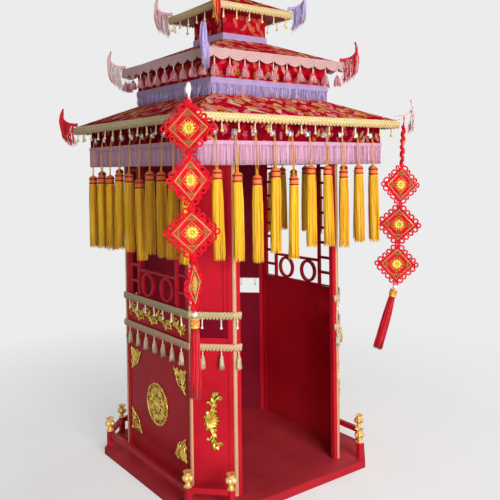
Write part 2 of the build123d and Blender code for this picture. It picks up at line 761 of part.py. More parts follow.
# Charm: its corner's place in the tables above, where it hangs along the horn, how far from the
# horn's centreline, the turn of each diamond, and its lean in degrees towards -X and +Y
horn_side = horn_radius * 0.65 * sqrt(3) / 2 + charm_cord_radius + fit
charm_rows = {
    "front": (3, horn_reach + horn_side, 0.0, (-133, -85, -117, -49), -1.2, 0.0),
    "right": (0, 25.0, -horn_radius * 0.92, (-52, -108, -140, -128), 3.4, 14.0),
}
charm_knots = {}
charm_tassels = {}
for name, (corner_index, reach, offset, turns, lean, tassel_lean) in charm_rows.items():
    root = horn_root(lower_eave_half, soffit_z, horn_turns[corner_index], horn_bends["lower"][corner_index])
    hook = (root * Location((reach, 0, horn_height(reach) + offset))).position
    lean_axis = Vector(0.6, 0.8, 0)
    hang = Plane(origin=hook, x_dir=(1, 0, 0), z_dir=Vector(0, 0, 1).rotate(Axis((0, 0, 0), lean_axis), lean))
    places = [
        hang.location * Location((0, 0, -charm_drop - knot_half - i * knot_pitch), (0, 0, turn))
        for i, turn in enumerate(turns)
    ]
    with BuildPart() as knots:
        with Locations(hang.location):
            add(charm_cord_form.part)
        with Locations(*places):
            add(knot_form.part)
    knots.part.label = "charm_knots_" + name
    charm_knots[name] = knots

    foot = (hang.location * Location((0, 0, -charm_cord))).position
    swing = Plane(origin=foot, x_dir=(1, 0, 0),
                  z_dir=Vector(0, 0, 1).rotate(Axis((0, 0, 0), lean_axis), tassel_lean))
    with BuildPart() as charm_tassel:
        with Locations(swing.location):
            add(charm_tassel_form.part)
    charm_tassel.part.label = "charm_tassel_" + name
    charm_tassels[name] = charm_tassel

for piece in (
    deck, rail_posts, guard_rails, post_vases, cabin_posts, back_wall, corner_boards, corner_upper_boards,
    head_rails, ceiling_board, corner_trims, upper_braid, lower_braid, braid_tassels, medallions,
    corner_scrolls, swirl_ornaments, friezes, valance_boards, pink_fringe, valance_crystals, tassel_cords,
    lower_roof, mid_neck_box, purple_fringe, mid_roof, top_neck_box, purple_band, top_roof, finial,
    *side_panels.values(), *window_ladders.values(), *window_rings.values(), *long_tassels.values(),
    *eave_braids.values(), *eave_drops.values(), *horns.values(), *horn_fringes.values(),
    *charm_knots.values(), *charm_tassels.values(),
):
    export_step(piece.part, "parts/" + piece.part.label + ".step")
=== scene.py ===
# %% [markdown]
# # A bridal palanquin
# A red lacquered cabin stands on a low railed deck under three stepped canopies of brocade, with fringes,
# tassels, bead drops and horns. The rigid frame comes from the CAD model. Everything made of cloth, thread,
# gilding or beads is shaped here from formulas, as whole arrays of points.

# %% Load the fixed frame
import bpy
import bmesh
import numpy as np
from mathutils import Matrix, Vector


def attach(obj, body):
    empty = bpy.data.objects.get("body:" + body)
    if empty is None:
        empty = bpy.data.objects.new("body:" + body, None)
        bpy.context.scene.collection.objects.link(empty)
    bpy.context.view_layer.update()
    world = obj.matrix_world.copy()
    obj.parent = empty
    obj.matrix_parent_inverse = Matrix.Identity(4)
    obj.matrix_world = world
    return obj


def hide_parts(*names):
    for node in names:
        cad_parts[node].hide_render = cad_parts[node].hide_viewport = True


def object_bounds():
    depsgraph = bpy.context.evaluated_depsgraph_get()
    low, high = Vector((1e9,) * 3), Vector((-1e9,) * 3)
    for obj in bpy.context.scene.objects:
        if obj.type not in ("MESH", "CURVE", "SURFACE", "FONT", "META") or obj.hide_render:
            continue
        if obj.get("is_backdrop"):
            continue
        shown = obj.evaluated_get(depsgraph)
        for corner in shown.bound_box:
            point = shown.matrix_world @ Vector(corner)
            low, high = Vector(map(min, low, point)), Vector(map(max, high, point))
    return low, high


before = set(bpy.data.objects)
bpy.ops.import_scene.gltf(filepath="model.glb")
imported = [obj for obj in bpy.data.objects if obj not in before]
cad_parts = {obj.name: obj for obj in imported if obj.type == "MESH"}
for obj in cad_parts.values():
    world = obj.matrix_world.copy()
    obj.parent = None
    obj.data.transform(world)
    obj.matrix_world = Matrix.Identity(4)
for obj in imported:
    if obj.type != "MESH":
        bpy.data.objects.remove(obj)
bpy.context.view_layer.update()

# %% [markdown]
# ## Camera
# The photograph was taken from a standing person's eye level, a little left of the doorway's corner. The
# camera's three axes were found from the parallel edges of deck, cabin and eaves. A matrix is used instead of
# angles because it takes the axes as they are. The shift keeps the verticals upright, as in the photograph.

# %% Camera and its axes
yaw, pitch, roll = 0.641, 0.018, -0.012  # radians
focal, picture, sensor = 664.07, 500, 36.0  # pixels, pixels and millimetres
axis_x, axis_y = 249.0, 179.45  # the pixel that the lens looks at straight, from the upper left corner
eye = (-2.0751, -2.9414, 1.5497)
ahead = np.array([np.sin(yaw) * np.cos(pitch), np.cos(yaw) * np.cos(pitch), -np.sin(pitch)])
level = np.array([np.cos(yaw), -np.sin(yaw), 0.0])
above = np.cross(level, ahead)
right = np.cos(roll) * level + np.sin(roll) * above
upright = -np.sin(roll) * level + np.cos(roll) * above
camera_data = bpy.data.cameras.new("camera")
camera = bpy.data.objects.new("camera", camera_data)
bpy.context.scene.collection.objects.link(camera)
camera_data.sensor_width = sensor
camera_data.lens = sensor * focal / picture
camera_data.shift_x = (picture / 2 - axis_x) / picture
camera_data.shift_y = (axis_y - picture / 2) / picture
pose = np.eye(4)
pose[:3, 0], pose[:3, 1], pose[:3, 2], pose[:3, 3] = right, upright, -ahead, eye
camera.matrix_world = Matrix(pose.tolist())
bpy.context.scene.camera = camera
bpy.context.scene.view_settings.view_transform = "Standard"
print("lens", round(camera_data.lens, 2), "mm")

# %% [markdown]
# ## Points, faces and pieces
# Every new piece is a grid of points or a profile carried along a path. A Shape keeps its points, its faces as
# index arrays, a flat coordinate for woven patterns and a colour for dyed threads. Shapes are joined and
# repeated as arrays, so a fringe of thousands of threads costs one multiplication.

# %% Shape: points with faces
class Shape:
    """Points (n, 3), faces as a list of index arrays, weave coordinates (n, 2) and dye colours (n, 3)."""

    def __init__(self, points, faces, weave=None, dye=None):
        self.points = np.asarray(points, float).reshape(-1, 3)
        self.faces = [np.asarray(f, int) for f in faces]
        n = len(self.points)
        self.weave = np.zeros((n, 2)) if weave is None else np.asarray(weave, float).reshape(n, 2)
        self.dye = np.ones((n, 3)) if dye is None else np.broadcast_to(np.asarray(dye, float), (n, 3)).copy()


def join(shapes):
    """All the points one after another, with each shape's face numbers moved on by the points before it."""
    start, faces = 0, []
    for shape in shapes:
        faces += [f + start for f in shape.faces]
        start += len(shape.points)
    return Shape(np.concatenate([s.points for s in shapes]), faces,
                 np.concatenate([s.weave for s in shapes]), np.concatenate([s.dye for s in shapes]))


def repeat(shape, turns, places):
    """Copies of one shape: point = turn matrix times point, plus place."""
    turns, places = np.asarray(turns, float).reshape(-1, 3, 3), np.asarray(places, float).reshape(-1, 3)
    count, n = len(places), len(shape.points)
    points = np.einsum("kij,nj->kni", turns, shape.points) + places[:, None, :]
    step = (np.arange(count) * n)[:, None, None]
    faces = [(f[None] + step).reshape(-1, f.shape[1]) for f in shape.faces]
    return Shape(points, faces, np.tile(shape.weave, (count, 1)), np.tile(shape.dye, (count, 1)))


def grid_faces(rows, columns, loop_rows=False, loop_columns=False):
    """Four neighbours of a grid of rows by columns points make each face."""
    r = np.arange(rows if loop_rows else rows - 1)[:, None]
    c = np.arange(columns if loop_columns else columns - 1)[None, :]
    r2, c2 = (r + 1) % rows, (c + 1) % columns
    return np.stack([r * columns + c, r * columns + c2, r2 * columns + c2, r2 * columns + c], -1).reshape(-1, 4)


def srgb(red, green, blue):
    """Linear colour of a painter's 0 to 255 value: below 0.04 divided by 12.92, above it a power of 2.4."""
    v = np.array([red, green, blue], float) / 255
    return tuple(np.where(v < 0.04045, v / 12.92, ((v + 0.055) / 1.055) ** 2.4))

# %% make_piece: a Shape becomes an object that rides on the frame
def make_piece(name, shape, finish, stands_for, soft=True, tidy=False, crisp=None):
    """Writes the arrays into a mesh. soft shades it smooth, tidy merges doubles and turns the faces out, and
    crisp is the angle in degrees from which an edge stays sharp."""
    mesh = bpy.data.meshes.new(name)
    loops = np.concatenate([f.ravel() for f in shape.faces])
    sizes = np.concatenate([np.full(len(f), f.shape[1]) for f in shape.faces])
    mesh.vertices.add(len(shape.points))
    mesh.vertices.foreach_set("co", shape.points.astype(np.float32).ravel())
    mesh.loops.add(len(loops))
    mesh.loops.foreach_set("vertex_index", loops.astype(np.int32))
    mesh.polygons.add(len(sizes))
    mesh.polygons.foreach_set("loop_start", np.concatenate([[0], np.cumsum(sizes)[:-1]]).astype(np.int32))
    mesh.update(calc_edges=True)
    mesh.uv_layers.new(name="weave").data.foreach_set("uv", shape.weave[loops].astype(np.float32).ravel())
    dye = mesh.attributes.new("dye", "FLOAT_COLOR", "POINT")
    opaque = np.hstack([shape.dye, np.ones((len(shape.dye), 1))])
    dye.data.foreach_set("color", opaque.astype(np.float32).ravel())
    if tidy:
        work = bmesh.new()
        work.from_mesh(mesh)
        bmesh.ops.remove_doubles(work, verts=work.verts, dist=0.00002)
        bmesh.ops.recalc_face_normals(work, faces=work.faces)
        work.to_mesh(mesh)
        work.free()
    mesh.validate()
    mesh.polygons.foreach_set("use_smooth", np.full(len(mesh.polygons), soft))
    if crisp is not None:
        mesh.set_sharp_from_angle(angle=np.radians(crisp))
    mesh.materials.append(finish)
    piece = bpy.data.objects.new(name, mesh)
    bpy.context.scene.collection.objects.link(piece)
    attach(piece, "root")
    if stands_for:
        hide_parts(*stands_for)
    print(name, len(mesh.polygons), "faces")
    return piece

# %% [markdown]
# ## Finishes
# A finish is a network of nodes that starts from the piece's own coordinates. Lacquer, gilding and pearl read
# the object's coordinates in metres. Brocade and braid read the weave coordinates laid on with the shape, so
# the pattern follows the cloth. Threads read the dye of each strand.

# %% Node helpers
def start_finish(name, **sockets):
    """A new material; the numbers in sockets are set on the shader itself."""
    material = bpy.data.materials.new(name)
    material.use_nodes = True
    tree = material.node_tree
    shader = tree.nodes["Principled BSDF"]
    for socket, value in sockets.items():
        shader.inputs[socket.replace("_", " ")].default_value = value
    return material, tree, shader


def add_node(tree, kind, links=None, **settings):
    """One node: settings are its properties, links its inputs as other sockets or as plain values."""
    made = tree.nodes.new("ShaderNode" + kind)
    for key, value in settings.items():
        setattr(made, key, value)
    for key, value in (links or {}).items():
        if isinstance(value, bpy.types.NodeSocket):
            tree.links.new(value, made.inputs[key])
        else:
            made.inputs[key].default_value = value
    return made


def maths(tree, operation, a, b=0.0, c=0.0, clamp=False):
    """operation of a and b, such as MULTIPLY."""
    return add_node(tree, "Math", {0: a, 1: b, 2: c}, operation=operation, use_clamp=clamp).outputs[0]


def colours(tree, factor, stops, interpolation="LINEAR"):
    """A ramp through the stops: position and colour."""
    ramp = add_node(tree, "ValToRGB", {0: factor})
    ramp.color_ramp.interpolation = interpolation
    while len(ramp.color_ramp.elements) < len(stops):
        ramp.color_ramp.elements.new(0.5)
    for element, (position, colour) in zip(ramp.color_ramp.elements, stops):
        element.position = position
        element.color = (*colour, 1.0)
    return ramp.outputs[0]


def blended(tree, factor, a, b, mode="MIX"):
    """Colour a goes over to colour b with the factor."""
    mixer = add_node(tree, "Mix", data_type="RGBA", blend_type=mode)
    for index, value in ((0, factor), (6, a), (7, b)):
        if isinstance(value, bpy.types.NodeSocket):
            tree.links.new(value, mixer.inputs[index])
        else:
            mixer.inputs[index].default_value = value if index == 0 else (*value, 1.0)
    return mixer.outputs[2]


def noise(tree, at, scale, detail=2.0, roughness=0.5, stretch=None):
    """Soft random value, stretched along an axis where a scale in stretch is low."""
    if stretch is not None:
        at = add_node(tree, "Mapping", {0: at, 3: stretch}).outputs[0]
    cloud = add_node(tree, "TexNoise", {0: at, "Scale": scale, "Detail": detail, "Roughness": roughness})
    return cloud.outputs[0]


def raise_surface(tree, shader, height, strength, distance):
    """Bump from a height value."""
    bump = add_node(tree, "Bump", {"Height": height, "Strength": strength, "Distance": distance})
    tree.links.new(bump.outputs[0], shader.inputs["Normal"])


def paint(tree, socket, shader, name="Base Color"):
    """Links a colour or a value to the shader's input of that name."""
    tree.links.new(socket, shader.inputs[name])


def coordinates(tree, kind="Object"):
    """The object's own coordinates in metres or, with UV, the weave coordinates laid on with the shape."""
    return add_node(tree, "TexCoord").outputs[kind]


def dye_of(tree):
    """The dye colour that a Shape carries at each of its points."""
    return add_node(tree, "Attribute", attribute_name="dye").outputs["Color"]


def parts_of(tree, vector):
    """x, y and z of a vector, as three sockets."""
    return add_node(tree, "SeparateXYZ", {0: vector}).outputs


def seen_ray(tree):
    """One for rays from the camera, also by way of a mirror or glass, and nought for rays of light."""
    ray = add_node(tree, "LightPath").outputs
    through = maths(tree, "MAXIMUM", ray["Is Transmission Ray"], ray["Is Glossy Ray"])
    return maths(tree, "MAXIMUM", ray["Is Camera Ray"], through)

# %% [markdown]
# ### Red lacquer
# The boards are sprayed red over plain timber. Real lacquer is never one colour: it is thinner in places,
# dulled by dust near the floor and scuffed by handling. Low noise gives the broad change, dust fades out with
# height, and fine stretched noise gives the scuffs. Inside the cabin a darker red is painted on as shade.
# A point is inside where |y| is small, for the straight walls, and |x| + |y| is small too, for the cut corners.
# The deck is worn paler by feet, so only where its surface points up.

# %% Lacquer
cabin, cut = 0.474, 0.149  # half the cabin's width, and the leg of its cut corners
shade_skin, corner_shade_skin = 0.012, 0.017  # how deep under the outer faces the painted shade inside the cabin starts


def lacquer(name, light, dark, gloss=0.34, dust=0.25, shade_inside=False, trodden=False):
    """Ramp between two reds by noise; painted shade inside the cabin, wear on top, dust low down, scuffs."""
    material, tree, shader = start_finish(name, Coat_Weight=0.02, Coat_Roughness=0.25, Specular_IOR_Level=0.08)
    at = coordinates(tree)
    broad = noise(tree, at, 2.6, 4.0, 0.6)
    colour = colours(tree, broad, [(0.3, dark), (0.7, light)])
    x, y, height = parts_of(tree, at)
    if shade_inside:
        x, y = maths(tree, "ABSOLUTE", x), maths(tree, "ABSOLUTE", y)
        straight = maths(tree, "SUBTRACT", cabin - shade_skin, y)
        slant = maths(tree, "SUBTRACT", 2 * cabin - cut - corner_shade_skin, maths(tree, "ADD", x, y))
        inside_shade_mask = maths(tree, "MULTIPLY", maths(tree, "MINIMUM", straight, slant), 900.0, clamp=True)
        # painted shade: a darker red on the cabin's inner faces, where its roof and walls shade it
        painted_inside_shade = colours(tree, broad, [(0.3, srgb(112, 12, 32)), (0.7, srgb(136, 18, 42))])
        colour = blended(tree, inside_shade_mask, colour, painted_inside_shade)
    if trodden:
        up = parts_of(tree, coordinates(tree, "Normal"))[2]
        soles = noise(tree, at, 5.0, 5.0, 0.7)
        worn = maths(tree, "MULTIPLY", maths(tree, "MULTIPLY_ADD", up, 4.0, -3.0, clamp=True), soles)
        colour = blended(tree, worn, colour, srgb(230, 76, 88))
    low = maths(tree, "MULTIPLY", maths(tree, "SUBTRACT", 0.3, height, clamp=True), 2.2)
    patches = noise(tree, at, 9.0, 6.0, 0.65)
    dusty = maths(tree, "MULTIPLY", maths(tree, "MULTIPLY", low, patches), dust * 2, clamp=True)
    colour = blended(tree, dusty, colour, srgb(158, 58, 64))
    scuffs = noise(tree, at, 70.0, 3.0, 0.7, (1.0, 1.0, 0.25))
    scratched = maths(tree, "MULTIPLY", maths(tree, "SUBTRACT", scuffs, 0.66, clamp=True), 2.0, clamp=True)
    colour = blended(tree, scratched, colour, srgb(236, 70, 72))
    paint(tree, colour, shader)
    dull = maths(tree, "MULTIPLY_ADD", patches, 0.3, gloss - 0.12)
    paint(tree, maths(tree, "ADD", dull, maths(tree, "MULTIPLY", dusty, 0.3)), shader, "Roughness")
    raise_surface(tree, shader, noise(tree, at, 26.0, 5.0, 0.6), 0.12, 0.004)
    return material


red_lacquer = lacquer("red_lacquer", srgb(202, 28, 46), srgb(176, 16, 34))
deck_lacquer = lacquer("deck_lacquer", srgb(206, 24, 46), srgb(172, 16, 36), 0.42, 0.5, trodden=True)
# the back wall, corner boards and ceiling get painted shade on their inner faces
wall_lacquer_shaded_inside = lacquer("wall_lacquer_shaded_inside", srgb(202, 28, 46), srgb(176, 16, 34), 0.36, shade_inside=True)
under_lacquer = lacquer("under_lacquer", srgb(150, 22, 34), srgb(112, 14, 24), 0.5, 0.0)
print("lacquers for", [finish.name for finish in (red_lacquer, deck_lacquer, wall_lacquer_shaded_inside, under_lacquer)])

# %% [markdown]
# ### Gilding
# The ornaments are cast in resin and gilt, the vases painted in a pinker gold. Gilding is a metal with a
# slightly uneven gloss, darker where the bole under the leaf shows through. Metallic is kept under one, so
# that the gold keeps its own colour in a pale room. The carving's dye paints umber and shade into its recesses.

# %% Gilt
def gilt(name, bright, deep, metal):
    """Ramp from bole to gold by noise, times the dye of umber and painted shade; the same noise dulls the gloss."""
    material, tree, shader = start_finish(name, Metallic=metal, Specular_IOR_Level=0.6)
    at = coordinates(tree)
    worn = noise(tree, at, 45.0, 4.0, 0.65)
    gold = colours(tree, worn, [(0.34, deep), (0.58, bright), (0.8, bright)])
    # on carvings the dye holds umber and painted shade in the recesses
    paint(tree, blended(tree, 1.0, gold, dye_of(tree), "MULTIPLY"), shader)
    paint(tree, maths(tree, "MULTIPLY_ADD", worn, -0.25, 0.46), shader, "Roughness")
    raise_surface(tree, shader, noise(tree, at, 160.0, 2.0), 0.5, 0.003)
    return material


gold_leaf = gilt("gold_leaf", srgb(246, 216, 104), srgb(176, 124, 30), 0.7)
vase_gilding = gilt("vase_gilding", srgb(240, 204, 122), srgb(202, 146, 74), 0.5)
finial_gold = gilt("finial_gold", srgb(232, 196, 96), srgb(150, 100, 40), 0.85)
print("gildings for", [finish.name for finish in (gold_leaf, vase_gilding, finial_gold)])

# %% [markdown]
# ### Thread, braid, pearl and crystal
# Threads read the dye of each strand, darken it a little at random along the thread and add a sheen. Braid
# reads the weave coordinates and crosses two diagonal waves, as a plait does. Its lower edge, the hem, is a
# little darker.

# %% Thread
def thread(name, sheen, gloss, grain):
    """Dye times a slow random value, with fine ridges across the strand as bump."""
    material, tree, shader = start_finish(name, Sheen_Weight=sheen, Roughness=gloss, Specular_IOR_Level=0.18)
    at = coordinates(tree)
    uneven = noise(tree, at, 60.0, 3.0, 0.6, (1.0, 1.0, 0.2))
    shade = colours(tree, uneven, [(0.25, (0.86, 0.86, 0.86)), (0.75, (1.0, 1.0, 1.0))])
    paint(tree, blended(tree, 1.0, dye_of(tree), shade, "MULTIPLY"), shader)
    raise_surface(tree, shader, noise(tree, at, grain, 2.0, 0.5, (1.0, 1.0, 0.3)), 0.3, 0.001)
    return material


silk_thread = thread("silk_thread", 0.12, 0.55, 260.0)
satin_cord = thread("satin_cord", 0.0, 0.5, 400.0)
print("threads", silk_thread.name, satin_cord.name)

# %% Braid
def woven(name, light, dark, across, along, hem=None):
    """Two waves, on u plus v and on u minus v; the larger one is the upper strand. The hem's colour comes in
    towards v = 0, the lower edge."""
    material, tree, shader = start_finish(name, Sheen_Weight=0.25, Roughness=0.6, Specular_IOR_Level=0.35)
    flat = coordinates(tree, "UV")
    along_strip, across_strip, _ = parts_of(tree, flat)
    u = maths(tree, "MULTIPLY", along_strip, 2 * np.pi / along)
    v = maths(tree, "MULTIPLY", across_strip, 2 * np.pi / across)
    one = maths(tree, "SINE", maths(tree, "ADD", u, v))
    two = maths(tree, "SINE", maths(tree, "SUBTRACT", u, v))
    height = maths(tree, "MULTIPLY_ADD", maths(tree, "MAXIMUM", one, two), 0.5, 0.5)
    colour = blended(tree, height, dark, light)
    colour = blended(tree, maths(tree, "MULTIPLY", noise(tree, flat, 24.0, 3.0), 0.5), colour, dark)
    if hem is not None:
        low = maths(tree, "MULTIPLY_ADD", across_strip, -55.0, 0.85, clamp=True)
        colour = blended(tree, low, colour, hem)
    paint(tree, colour, shader)
    raise_surface(tree, shader, height, 0.5, 0.0015)
    return material


gold_braid = woven("gold_braid", srgb(238, 222, 164), srgb(178, 152, 92), 0.022, 0.019, srgb(186, 140, 96))
olive_braid = woven("olive_braid", srgb(222, 206, 158), srgb(146, 124, 78), 0.018, 0.017, srgb(170, 140, 98))
tan_braid = woven("tan_braid", srgb(232, 200, 156), srgb(176, 128, 98), 0.018, 0.017, srgb(180, 130, 100))
pink_braid = woven("pink_braid", srgb(224, 186, 180), srgb(170, 118, 122), 0.016, 0.015)
cream_gimp = woven("cream_gimp", srgb(228, 184, 138), srgb(180, 118, 84), 0.008, 0.007)
tape = woven("tape", srgb(196, 172, 216), srgb(150, 126, 178), 0.004, 0.003)
pink_tape = woven("pink_tape", srgb(228, 176, 206), srgb(190, 130, 165), 0.004, 0.003)
print("braids with a hem", gold_braid.name, olive_braid.name, tan_braid.name)

# %% Pearl and crystal: milky and silvery patches by noise
bead_gloss, tree, shader = start_finish("bead_gloss", Roughness=0.3, Coat_Weight=0.4, Coat_Roughness=0.1)
milky = colours(tree, noise(tree, coordinates(tree), 90.0, 2.0),
                [(0.3, srgb(226, 214, 196)), (0.7, srgb(255, 255, 255))])
paint(tree, blended(tree, 1.0, dye_of(tree), milky, "MULTIPLY"), shader)
crystal, tree, shader = start_finish("crystal", Metallic=0.55, Roughness=0.08, Specular_IOR_Level=0.8)
paint(tree, colours(tree, noise(tree, coordinates(tree), 120.0, 1.0),
                    [(0.35, srgb(120, 122, 132)), (0.65, srgb(232, 232, 238))]), shader)
print("small finishes", bead_gloss.name, crystal.name)

# %% [markdown]
# ### Brocade
# The canopies are covered with a cheap, lively brocade: a red ground strewn with orange, pink and yellow-gold
# blossoms and brush-like leaves. A Voronoi pattern drops one seed in each cell of the cloth. The way from the
# seed to the point gives a distance and an angle, which draw the petals, and the cell's random colour dyes
# them. Three sowings of leaves and one of blossoms lie over each other.

# %% Seeds on the cloth
def seeds(tree, cloth, scale, moved):
    """x and y of the way from the nearest seed, and the three parts of the seed's random colour."""
    place = add_node(tree, "Mapping", {0: cloth, 1: moved}).outputs[0]
    cell = add_node(tree, "TexVoronoi", {0: place, "Scale": scale, "Randomness": 0.8},
                    voronoi_dimensions="2D", feature="F1")
    way = add_node(tree, "VectorMath", {0: place, 1: cell.outputs["Position"]}, operation="SUBTRACT")
    x, y, _ = parts_of(tree, way.outputs[0])
    return x, y, parts_of(tree, cell.outputs["Color"])


def product_sum(tree, a, b, c, d):
    """a b + c d."""
    return maths(tree, "ADD", maths(tree, "MULTIPLY", a, b), maths(tree, "MULTIPLY", c, d))


leaf_dyes = [(0.0, srgb(248, 156, 96)), (0.16, srgb(250, 206, 150)), (0.32, srgb(252, 172, 180)),
             (0.46, srgb(230, 22, 54)), (0.78, srgb(240, 112, 114)), (0.9, srgb(254, 234, 200))]
petal_dyes = [(0.0, srgb(240, 142, 48)), (0.35, srgb(240, 126, 120)), (0.7, srgb(240, 190, 80))]
# three sowings: cells to the metre, where the pattern starts, and how the leaves lean in radians
sowings = ((13.0, (0.3, 0.1, 0.0), 0.9), (16.0, (1.7, 2.3, 0.0), 1.9), (11.0, (3.1, 5.3, 0.0), 0.4))
print("leaf dyes", len(leaf_dyes), "petal dyes", len(petal_dyes))

# %% Leaves and blossoms
def add_leaves(tree, flat, cloth, size, strength, colour):
    """A leaf is 1 where (along / 0.62 size)^2 + (aside / 0.25 size)^2 is under one. The axes lean at random,
    and aside bends with the square of along. Streaks of noise give brush strokes."""
    raised = 0.0
    for scale, moved, lean in sowings:
        x, y, dice = seeds(tree, cloth, scale, moved)
        turn = maths(tree, "MULTIPLY_ADD", dice[0], 0.9, lean)
        c, s = maths(tree, "COSINE", turn), maths(tree, "SINE", turn)
        along = product_sum(tree, x, c, y, s)
        aside = maths(tree, "SUBTRACT", maths(tree, "MULTIPLY", y, c), maths(tree, "MULTIPLY", x, s))
        aside = maths(tree, "ADD", aside, maths(tree, "MULTIPLY", maths(tree, "MULTIPLY", along, along), 4.0))
        a, b = maths(tree, "DIVIDE", along, size * 0.62), maths(tree, "DIVIDE", aside, size * 0.25)
        oval = product_sum(tree, a, a, b, b)
        leaf = maths(tree, "MULTIPLY", maths(tree, "SUBTRACT", 1.05, oval), 6.0, clamp=True)
        streak = maths(tree, "MULTIPLY_ADD", noise(tree, flat, 130.0, 2.0, 0.6), 1.4, 0.1, clamp=True)
        leaf = maths(tree, "MULTIPLY", leaf, streak)
        dye = colours(tree, dice[1], leaf_dyes, "CONSTANT")
        colour = blended(tree, maths(tree, "MULTIPLY", leaf, strength, clamp=True), colour, dye)
        raised = maths(tree, "ADD", raised, leaf)
    return colour, raised


def add_blossoms(tree, flat, cloth, size, strength, colour, raised):
    """Petal where the distance is less than half the size times (0.62 + 0.38 |cos(2.5 angle)|); a heart in
    the middle."""
    x, y, dice = seeds(tree, cloth, 11.0, (4.1, 0.7, 0.0))
    far = maths(tree, "POWER", product_sum(tree, x, x, y, y), 0.5)
    angle = maths(tree, "MULTIPLY_ADD", maths(tree, "ARCTAN2", y, x), 2.5, dice[0])
    lobes = maths(tree, "MULTIPLY_ADD", maths(tree, "ABSOLUTE", maths(tree, "COSINE", angle)), 0.38, 0.62)
    edge = maths(tree, "SUBTRACT", maths(tree, "MULTIPLY", lobes, size * 0.5), far)
    petal = maths(tree, "MULTIPLY", edge, 260.0, clamp=True)
    heart = maths(tree, "MULTIPLY", maths(tree, "SUBTRACT", size * 0.13, far), 300.0, clamp=True)
    streak = maths(tree, "MULTIPLY_ADD", noise(tree, flat, 110.0, 2.0, 0.6), 1.2, 0.25, clamp=True)
    petal = maths(tree, "MULTIPLY", petal, streak)
    dye = colours(tree, dice[1], petal_dyes, "CONSTANT")
    colour = blended(tree, maths(tree, "MULTIPLY", petal, strength, clamp=True), colour, dye)
    colour = blended(tree, heart, colour, srgb(196, 40, 50))
    return colour, maths(tree, "ADD", raised, petal)

# %% Brocade
def brocade(name, ground, deep, size, strength=1.0):
    """Mottled ground, leaves and blossoms on slightly rippled weave coordinates, over warp times weft."""
    material, tree, shader = start_finish(name, Roughness=0.85, Specular_IOR_Level=0.0)
    flat = coordinates(tree, "UV")
    ripple = add_node(tree, "TexNoise", {0: flat, "Scale": 22.0, "Detail": 2.0}).outputs["Color"]
    ripple = add_node(tree, "VectorMath", {0: ripple, 1: (0.5, 0.5, 0.5)}, operation="SUBTRACT").outputs[0]
    ripple = add_node(tree, "VectorMath", {0: ripple, "Scale": 0.02}, operation="SCALE").outputs[0]
    cloth = add_node(tree, "VectorMath", {0: flat, 1: ripple}, operation="ADD").outputs[0]
    colour = colours(tree, noise(tree, flat, 30.0, 4.0, 0.6), [(0.3, deep), (0.7, ground)])
    colour, raised = add_leaves(tree, flat, cloth, size, strength, colour)
    colour, raised = add_blossoms(tree, flat, cloth, size, strength, colour, raised)
    paint(tree, colour, shader)
    yarn_pitch = 0.0022
    warp, weft = [maths(tree, "SINE", maths(tree, "MULTIPLY", part, 2 * np.pi / yarn_pitch))
                  for part in parts_of(tree, flat)[:2]]
    weave = maths(tree, "MULTIPLY_ADD", maths(tree, "MULTIPLY", warp, weft), 0.25, raised)
    raise_surface(tree, shader, weave, 0.35, 0.0012)
    return material


roof_brocade = brocade("roof_brocade", srgb(234, 18, 54), srgb(196, 8, 42), 0.056)
box_brocade = brocade("box_brocade", srgb(190, 14, 34), srgb(146, 6, 24), 0.044, 0.5)
valance_brocade = brocade("valance_brocade", srgb(142, 10, 30), srgb(92, 4, 18), 0.034, 0.34)
red_satin = brocade("red_satin", srgb(186, 20, 38), srgb(146, 10, 26), 0.040, 0.28)
print("brocade nodes", len(roof_brocade.node_tree.nodes))

# %% [markdown]
# ## The frame's own pieces
# Deck, rails, posts, boards, window lattice and ceiling are rigid and their CAD shape is right, so they stay
# and only take a finish. The bevel of the deck and the thickness of each board come from the CAD source.

# %% Finish the rigid CAD nodes
rigid = {
    red_lacquer: ["rail_posts", "guard_rails", "cabin_posts", "side_panel_left", "side_panel_right",
                  "head_rails", "window_ladders_left", "window_ladders_right", "window_rings_left",
                  "window_rings_right"],
    deck_lacquer: ["deck"],
    wall_lacquer_shaded_inside: ["back_wall", "corner_boards", "corner_upper_boards", "ceiling_board"],
    under_lacquer: ["lower_roof", "mid_roof", "top_roof"],
}
for finish, names in rigid.items():
    for node_name in names:
        cad_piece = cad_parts[node_name]
        cad_piece.data.materials.clear()
        cad_piece.data.materials.append(finish)
print("rigid nodes finished", sum(len(names) for names in rigid.values()))

# %% [markdown]
# ## Shapes from formulas
# Three makers shape nearly everything that follows. Tubes carry a ring along many paths at once, for threads,
# cords and gilt scrolls. Turned work spins a profile, for vases and beads. A band carries a section along the
# plan of a wall, with mitred corners, for braids, tapes and cloth covers.

# %% Tubes along paths
def unit(v):
    """The same direction at length one."""
    return v / np.maximum(np.linalg.norm(v, axis=-1, keepdims=True), 1e-12)


def rod_faces(rings, sides):
    """Faces round the rings of a rod, and one on each end."""
    ends = np.stack([np.arange(sides)[::-1], (rings - 1) * sides + np.arange(sides)])
    return [grid_faces(rings, sides, False, True), ends]


